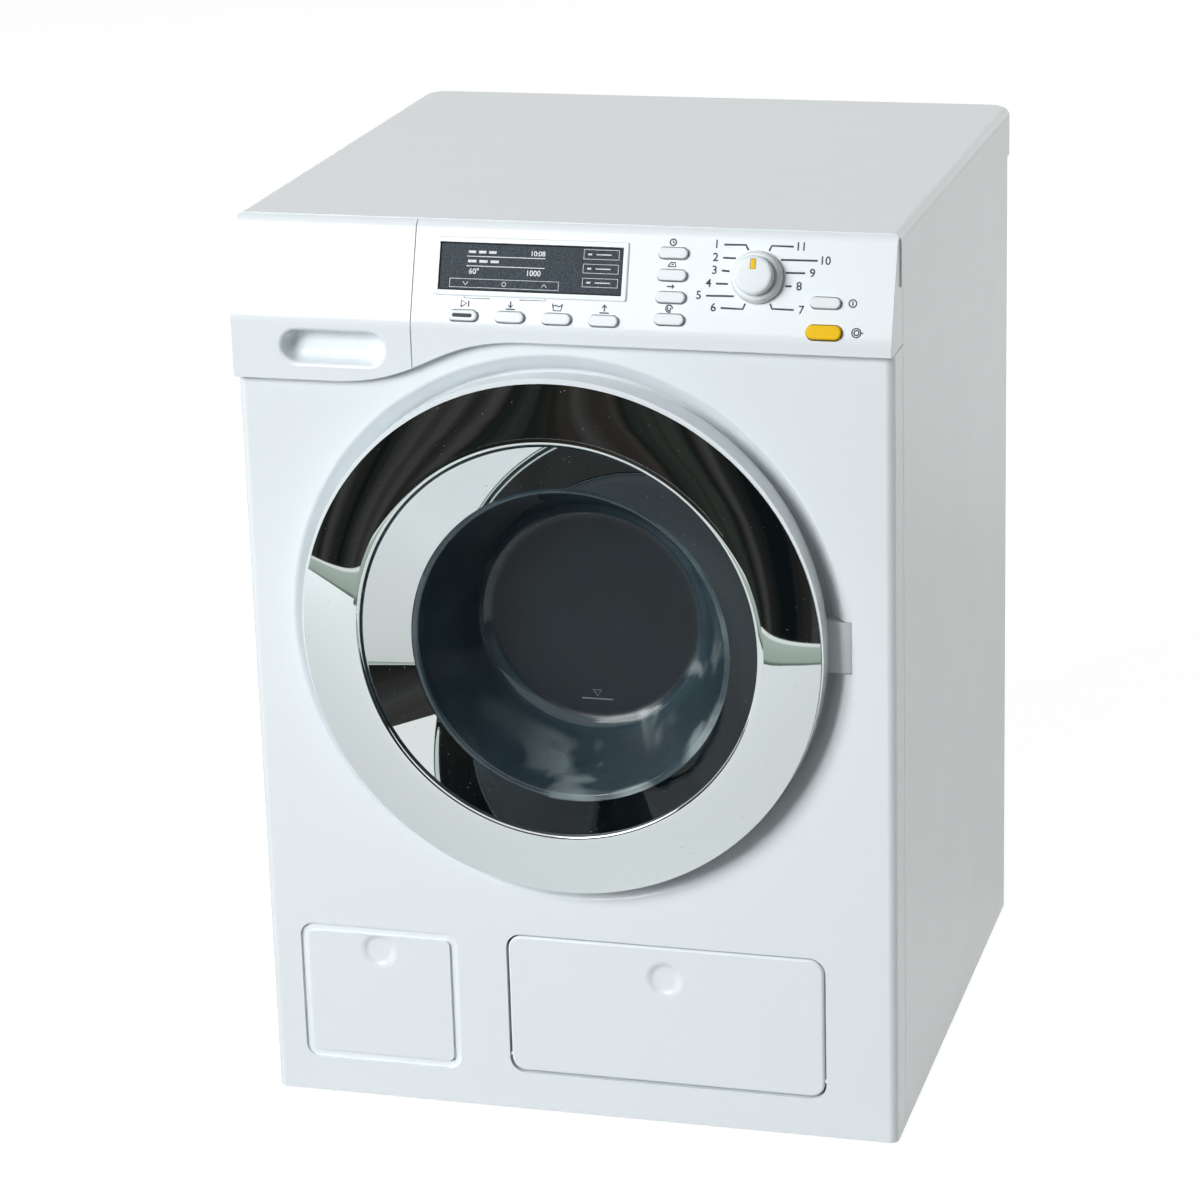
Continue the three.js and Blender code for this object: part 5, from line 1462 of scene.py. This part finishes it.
# %% The dial's scale
leaders = [
    [(45.4, 24.4), (51.3, 24.5), (52.1, 23.1)],
    [(45.3, 20.9), (48.8, 20.9)],
    [(45.2, 17.5), (47.3, 17.4)],
    [(43.8, 14.0), (47.1, 14.0)],
    [(41.3, 10.7), (48.9, 10.8)],
    [(45.5, 7.6), (51.5, 7.5), (52.1, 9.0)],
    [(65.3, 7.8), (59.4, 7.9), (58.8, 9.2)],
    [(64.3, 14.0), (62.6, 14.0)],
    [(67.7, 17.6), (62.5, 17.5)],
    [(70.9, 21.0), (61.0, 20.9)],
    [(64.2, 24.5), (58.3, 24.5), (57.7, 23.1)],
]
leader_width, number_size, number_away = 0.52 * mm, 3.1 * mm, 2.0


def print_dial():
    lines = [stroke(points, leader_width) for points in leaders]
    for count, points in enumerate(leaders, 1):
        x, s = points[0]
        side = -1 if x < knob_x / mm else 1
        lines.append(number(str(count), x + side * number_away, s, number_size))
    print_group("dial_scale", lines, black_ink)


print_dial()

# %% [markdown]
# Each key has a small sign over or beside it: an arrow into a tray for water in, a tub with waves,
# a clock. They could be letters of a symbol font. A few strokes each, in millimetres about the
# sign's middle, need no file and keep one width of line.

# %% Signs at the keys
sign_width, bracket_width = 0.36 * mm, 0.22 * mm
row_sign_up, column_sign_left, column_sign_up, column_sign_size = 3.3, 0.3, 2.95, 0.85
tray = [(-1.3, -1.1), (1.3, -1.1)]
signs = {
    "play": [[(-0.8, -0.9), (-0.8, 0.9), (0.7, 0), (-0.8, -0.9)], [(1.3, -0.8), (1.3, 0.8)]],
    "in": [[(0, 1.1), (0, -0.6)], [(-0.6, 0.1), (0, -0.7), (0.6, 0.1)], tray],
    "out": [[(0, -0.7), (0, 1.0)], [(-0.6, 0.3), (0, 1.1), (0.6, 0.3)], tray],
    "tub": [[(-1.4, 0.9), (-1.0, -1.0), (1.0, -1.0), (1.4, 0.9)],
            [(-1.1, 0.2), (-0.4, 0.5), (0.3, 0.1), (1.1, 0.4)]],
    "clock": [loop(0, 0, 1.0), [(0, 0.6), (0, 0), (0.5, -0.2)]],
    "iron": [[(-1.3, -0.7), (1.3, -0.7), (1.0, 0.6), (-0.3, 0.6), (-1.3, -0.7)],
             [(-0.1, 0.0), (0.6, 0.0)]],
    "short": [[(-1.2, 0), (1.0, 0)], [(0.4, 0.6), (1.1, 0), (0.4, -0.6)]],
    "spiral": [loop(0, 0, 1.1, 0, 300), loop(0, 0, 0.55, 120, 400)],
    "power": [loop(0, 0, 1.0), [(0, 0.55), (0, -0.55)]],
    "door": [loop(0, 0, 1.1), loop(0.05, 0, 0.6), [(1.1, 0), (1.7, 0)]],
}
brackets = [[(-25.5, 8.3), (-25.5, 7.6), (-18.2, 7.6)], [(-10, 7.6), (-2.8, 7.6), (-2.8, 8.3)]]


def sign(kind, x, s, size=1.0):
    """The strokes of one sign about a point."""
    return [stroke([(x + a * size, s + b * size) for a, b in points], sign_width)
            for points in signs[kind]]


def print_keys():
    lines = []
    for kind, (x, s) in zip(["play", "in", "tub", "out"], low_row):
        lines += sign(kind, x / mm, s / mm + row_sign_up)
    for kind, (x, s) in zip(["spiral", "short", "iron", "clock"], column):
        lines += sign(kind, x / mm - column_sign_left, s / mm + column_sign_up, column_sign_size)
    lines += sign("power", 81.0, 10.1) + sign("door", 82.4, 2.4, 1.1)
    lines += [stroke(points, bracket_width) for points in brackets]
    print_group("key_signs", lines, black_ink)


print_keys()

# %% [markdown]
# A line and a small pointer, low on the bowl's end, show how far it may be filled. They could be
# part of the bowl's finish. As print on the inside of the end they keep a crisp edge, and they ride
# on the door's body, so they turn with it.

# %% The fill mark
fill_down = 25 * mm


def to_bowl(piece):
    """Turns a piece drawn flat upright, low on the bowl's inner end."""
    return moved(piece, (0, front_y + bowl_floor - bowl_wall, axis_z - fill_down), (quarter, 0, 0))


fill_lines = [stroke([(-4.6, 0), (4.6, 0)], 0.5 * mm),
              stroke([(-1.2, 2.7), (1.2, 2.7), (0, 0.9)], 0.4 * mm, closed=True)]
print_group("fill_mark", fill_lines, faint_ink, "bowl", to_bowl, "door")

# %% [markdown]
# The display's window is a dark plate with a flange behind the panel. It could glow, but it doesn't
# in the photograph, so it is a plain solid that only mirrors a little.

# %% The display's window
screen_flange, screen_back = 1.2 * mm, flange_top - 1.2 * mm


def make_window():
    glass = slab("display", (screen_left + gap, screen_low + gap, screen_back),
                 (screen_right - gap, screen_high - gap, 0))
    round_edges(glass, 0.15 * mm, 2, past("z", 0))
    rim = slab("rim", (screen_left - screen_flange, screen_low - screen_flange, screen_back),
               (screen_right + screen_flange, screen_high + screen_flange, flange_top))
    carve(glass, rim, operation="UNION")
    finished(to_panel(smooth(glass)), "machine", "screen", "display_window")


make_window()

# %% [markdown]
# Toys show a frozen picture there: pale frames, bars and a few plain numbers. It is drawn with the
# same strokes as the signs, on the window's face, so that it has the same crisp edge.

# %% The display's picture
frame_width, rule_width, bar_width = 0.2 * mm, 0.24 * mm, 0.75 * mm
arrows, arrow_s, arrow_reach, arrow_rise = ((-25.4, -1), (-3.4, 1)), 11.6, 0.7, 0.45
rules, bars, bar_start, bar_gap = (18.9, 16.3), ((20.1, 8.6), (17.6, 9.4)), -25.0, 0.8
side_boxes = ((19.25, 21.8), (15.5, 17.9), (11.8, 14.1))


def outline(x0, x1, s0, s1):
    return stroke([(x0, s0), (x1, s0), (x1, s1), (x0, s1)], frame_width, closed=True)


def print_picture():
    lines = [outline(-29.8, 0.6, 10.5, 12.8)]
    for x, way in arrows:
        foot, tip = arrow_s - way * arrow_rise, arrow_s + way * arrow_rise
        lines.append(stroke([(x - arrow_reach, foot), (x, tip), (x + arrow_reach, foot)], frame_width))
    lines.append(stroke(loop(-14.6, 11.65, 0.55), frame_width))
    lines += [stroke([(-25.4, s), (-3.5, s)], rule_width) for s in rules]
    for s, width in bars:
        for k in range(3):
            start = bar_start + k * width / 3
            lines.append(stroke([(start, s), (start + width / 3 - bar_gap, s)], bar_width))
    lines.append(number("10:08", -5.6, 20.1, 1.9 * mm))
    lines.append(number("60°", -23.2, 14.8, 2.1 * mm))
    lines.append(number("1000", -6.6, 14.8, 2.1 * mm))
    for s0, s1 in side_boxes:
        middle = (s0 + s1) / 2
        lines.append(outline(7.2, 16.9, s0, s1))
        lines.append(stroke([(8.3, middle), (9.4, middle)], 0.5 * mm))
        lines.append(stroke([(10.6, middle), (14.8, middle)], 0.3 * mm))
    print_group("display_picture", lines, pale_ink, "screen")


print_picture()

# %% [markdown]
# Now the picture itself. The camera stands where the photographer stood: a little to the right and
# above, about a metre away, with a long lens. It could be moved by eye until it fits. Its angles and
# its distance were worked out from the corners of the casing instead, which leaves nothing to taste.

# %% Camera
azimuth, elevation, roll = math.radians(15.836), math.radians(18.363), math.radians(-1.687)
distance, lens, film_width = 1.071706, 117.55, 36
target = Vector((9.908 * mm, front_y, 156.668 * mm))


def direction(turn, lift):
    """The way out from the toy, turned from the front towards the right and lifted."""
    return Vector((math.sin(turn) * math.cos(lift), -math.cos(turn) * math.cos(lift), math.sin(lift)))


away = direction(azimuth, elevation)
fresh()
bpy.ops.object.camera_add(location=target + away * distance)
camera = bpy.context.object
camera.rotation_mode = "QUATERNION"
camera.rotation_quaternion = away.to_track_quat("Z", "Y") @ Matrix.Rotation(roll, 4, "Z").to_quaternion()
camera.data.lens = lens
camera.data.sensor_width = film_width
bpy.context.scene.camera = camera
print("camera at", [round(value, 3) for value in camera.location])

# %% [markdown]
# The toy was photographed on white, in soft light from all round. A bright world would light it, but
# a world that is white to the camera and as bright to the toy washes its shadows out. So each ray is
# asked what it is: the camera and mirrors see white, and the toy gets a dimmer light.

# %% World
def ray(made, kind):
    """1 for rays of a kind, and 0 for others."""
    return made.node("ShaderNodeLightPath", out="Is %s Ray" % kind)


def is_seen(made):
    """1 for what the camera sees, directly or through a mirror or a pane, and 0 for other rays."""
    return made.node("ShaderNodeMath", {"operation": "ADD", "use_clamp": True}, {
        0: ray(made, "Camera") + ray(made, "Glossy"), 1: ray(made, "Transmission")})


def glow_world(strength):
    made = Finish(bpy.data.worlds.new("studio"))
    soft = made.node("ShaderNodeBackground", None, {"Color": (0.985, 1.0, 0.995, 1), "Strength": strength})
    shown = made.node("ShaderNodeBackground", None, {"Color": (1, 1, 1, 1), "Strength": 1.0})
    mixed = made.node("ShaderNodeMixShader", None, {0: is_seen(made), 1: soft, 2: shown})
    bpy.context.scene.world = made.output(mixed, "ShaderNodeOutputWorld")


glow_world(0.18)
print("world:", bpy.context.scene.world.name)

# %% [markdown]
# The table is white paint with a soft shadow under the toy. Paint alone comes out grey beside a
# white background, so it also shines a little for the camera. A mirror sees less of that shine and
# more of the paint, so that the toy's own shade shows in its plating.

# %% The table
def table_finish(share, mirrored):
    """White paint, and a share of plain white that the camera sees, or another that mirrors see."""
    made = new_finish("white_table")
    seen, mirror = is_seen(made), ray(made, "Glossy")
    paint = made.blend(mirror, (0.28, 0.28, 0.28, 1), (0.85, 0.86, 0.86, 1))
    paint = made.blend(seen - mirror, paint, (0.42, 0.42, 0.42, 1))
    matt = made.node("ShaderNodeBsdfDiffuse", None, {"Color": paint})
    shine = made.node("ShaderNodeEmission", None, {
        "Color": (1, 1, 1, 1), "Strength": seen * share - mirror * (share - mirrored)})
    return made.output(made.node("ShaderNodeAddShader", None, {0: matt, 1: shine}))


def make_table():
    fresh()
    bpy.ops.mesh.primitive_plane_add(size=8, location=(0, 1.5, 0))
    table = placed("table")
    table.data.materials.append(table_finish(0.86, 0.25))


make_table()

# %% [markdown]
# A mirror needs something to mirror, and the plated ring shows the table's front edge and a dim room
# behind the camera. A picture of a room could be wrapped round the scene. Two cards do it here: a
# low one for the edge and the floor, and a round wall, with upright streaks that run on from one to
# the other because they follow the direction from the toy. The camera doesn't see the cards.

# %% The room that the ring mirrors
edge_turn = azimuth - math.radians(7.2)
edge_near, edge_far, edge_span, edge_deep = 0.498, 0.585, 0.2, 3
room_radius, room_high = 2.4, 1.04
room_open_right, room_open_left = 0.35, -0.5


def reflection_only(piece, finish, soft=False):
    """Hides a card from the camera. A soft one still dims the light that reaches the toy."""
    piece.data.materials.append(finish)
    piece.visible_camera = False
    piece.visible_diffuse = soft
    piece.visible_shadow = False
    piece.visible_transmission = False
    print(piece.name, "shows in mirrors only")


def room_streaks(made):
    """Upright streaks of brown, green and blue-black, by the direction from the toy."""
    level = made.node("ShaderNodeVectorMath", {"operation": "MULTIPLY"},
                      {0: made.place(), 1: (1, 1, 0)}, "Vector")
    way = made.node("ShaderNodeVectorMath", {"operation": "NORMALIZE"}, {0: level}, "Vector")
    stops = [(0, colour(10, 13, 16)), (0.40, colour(16, 22, 24)), (0.46, colour(40, 40, 38)),
             (0.50, colour(66, 66, 66)), (0.54, colour(50, 46, 42)), (0.57, colour(26, 30, 29)),
             (0.62, colour(52, 56, 52)), (0.68, colour(14, 18, 19))]
    return made.shades(made.noise(3.4, 5, 0.5, Vector=way), stops)


def edge_finish():
    """The table's front edge: a thin dark line, a grey-green band, a pale line, then the dark."""
    made = new_finish("table_edge")
    ahead = made.node("ShaderNodeVectorMath", {"operation": "DOT_PRODUCT"}, {
        0: made.place(), 1: direction(edge_turn, 0)}, "Value")
    across = made.ramp(ahead, edge_near, edge_near + edge_span)
    band = (edge_far - edge_near) / edge_span
    stops = [(0, colour(96, 104, 98)), (0.06 * band, colour(120, 130, 122)),
             (0.12 * band, colour(168, 182, 172)), (0.78 * band, colour(186, 198, 190)),
             (0.84 * band, colour(246, 248, 246)), (0.96 * band, colour(246, 248, 246)),
             (band, colour(34, 32, 28))]
    return made.glow(made.blend(across > 1.001 * band, made.shades(across, stops), room_streaks(made)))


def make_room():
    fresh()
    middle = direction(edge_turn, 0) * (edge_near + edge_deep / 2) + Vector((0, 0, mm))
    bpy.ops.mesh.primitive_plane_add(size=1, location=middle, rotation=(0, 0, edge_turn))
    bpy.context.object.scale = (9, edge_deep, 1)
    reflection_only(placed("table_edge"), edge_finish(), True)
    fresh()
    bpy.ops.mesh.primitive_cylinder_add(vertices=96, radius=room_radius, depth=room_high,
                                        end_fill_type="NOTHING", location=(0, 0, room_high / 2))
    room = placed("dim_room")

    def behind(middle, normal):
        return middle.y > (room_open_right if middle.x > 0 else room_open_left) * room_radius

    edit(room, "FACE", behind)
    bpy.ops.mesh.delete(type="FACE")
    fresh()
    made = new_finish("dim_room")
    reflection_only(room, made.glow(room_streaks(made)), True)


make_room()

# %% [markdown]
# The leaning panel catches a bright pane at the left, like a window. A lamp could show in it too,
# but a card has a shape and a place of its own, apart from the light that falls on the toy, so the
# glint can be put where the photograph has it.

# %% The bright pane
pane_turn, pane_lift, pane_away = math.radians(-36), math.radians(27), 2.3
pane_aim = Vector((-0.02, front_y, top_z))


def make_pane():
    level = direction(pane_turn, 0)
    way = Vector((level.x, level.y, math.tan(pane_lift))).normalized()
    fresh()
    bpy.ops.mesh.primitive_plane_add(size=1, location=pane_aim + way * pane_away,
                                     rotation=way.to_track_quat("Z", "Y").to_euler())
    bpy.context.object.scale = (1.3, 1.0, 1)
    reflection_only(placed("bright_pane"), new_finish("bright_pane").glow((1, 1, 1, 1), 6.5))


make_pane()

# %% [markdown]
# Two square lamps give the light its direction: one in front, at the left and above, and a weaker
# one at the right and farther back, which lifts the casing's side. One lamp alone would leave that
# side dull. Mirrors don't see the lamps, because the cards already give them what they show.

# %% Lamps
def lamp(name, place, aim, size, power, shade):
    """A square lamp that points at an aim."""
    fresh()
    bpy.ops.object.light_add(type="AREA", location=place)
    light = bpy.context.object
    light.name = name
    light.data.shape = "SQUARE"
    light.data.size = size
    light.data.energy = power
    light.data.color = shade
    light.rotation_mode = "QUATERNION"
    light.rotation_quaternion = (Vector(place) - Vector(aim)).to_track_quat("Z", "Y")
    light.visible_glossy = False
    print(name, power, "W")


lamp("front_lamp", (-0.94, -1.82, 1.02), (0, front_y, door_z), 0.9, 45.5, (0.945, 0.975, 1.0))
lamp("side_lamp", (2.1, 0.95, 0.6), (half, 0, door_z), 1.2, 25, (1.0, 1.0, 0.98))
bpy.context.scene.view_settings.view_transform = "Standard"

# %% Updating the scene
bpy.context.view_layer.update()
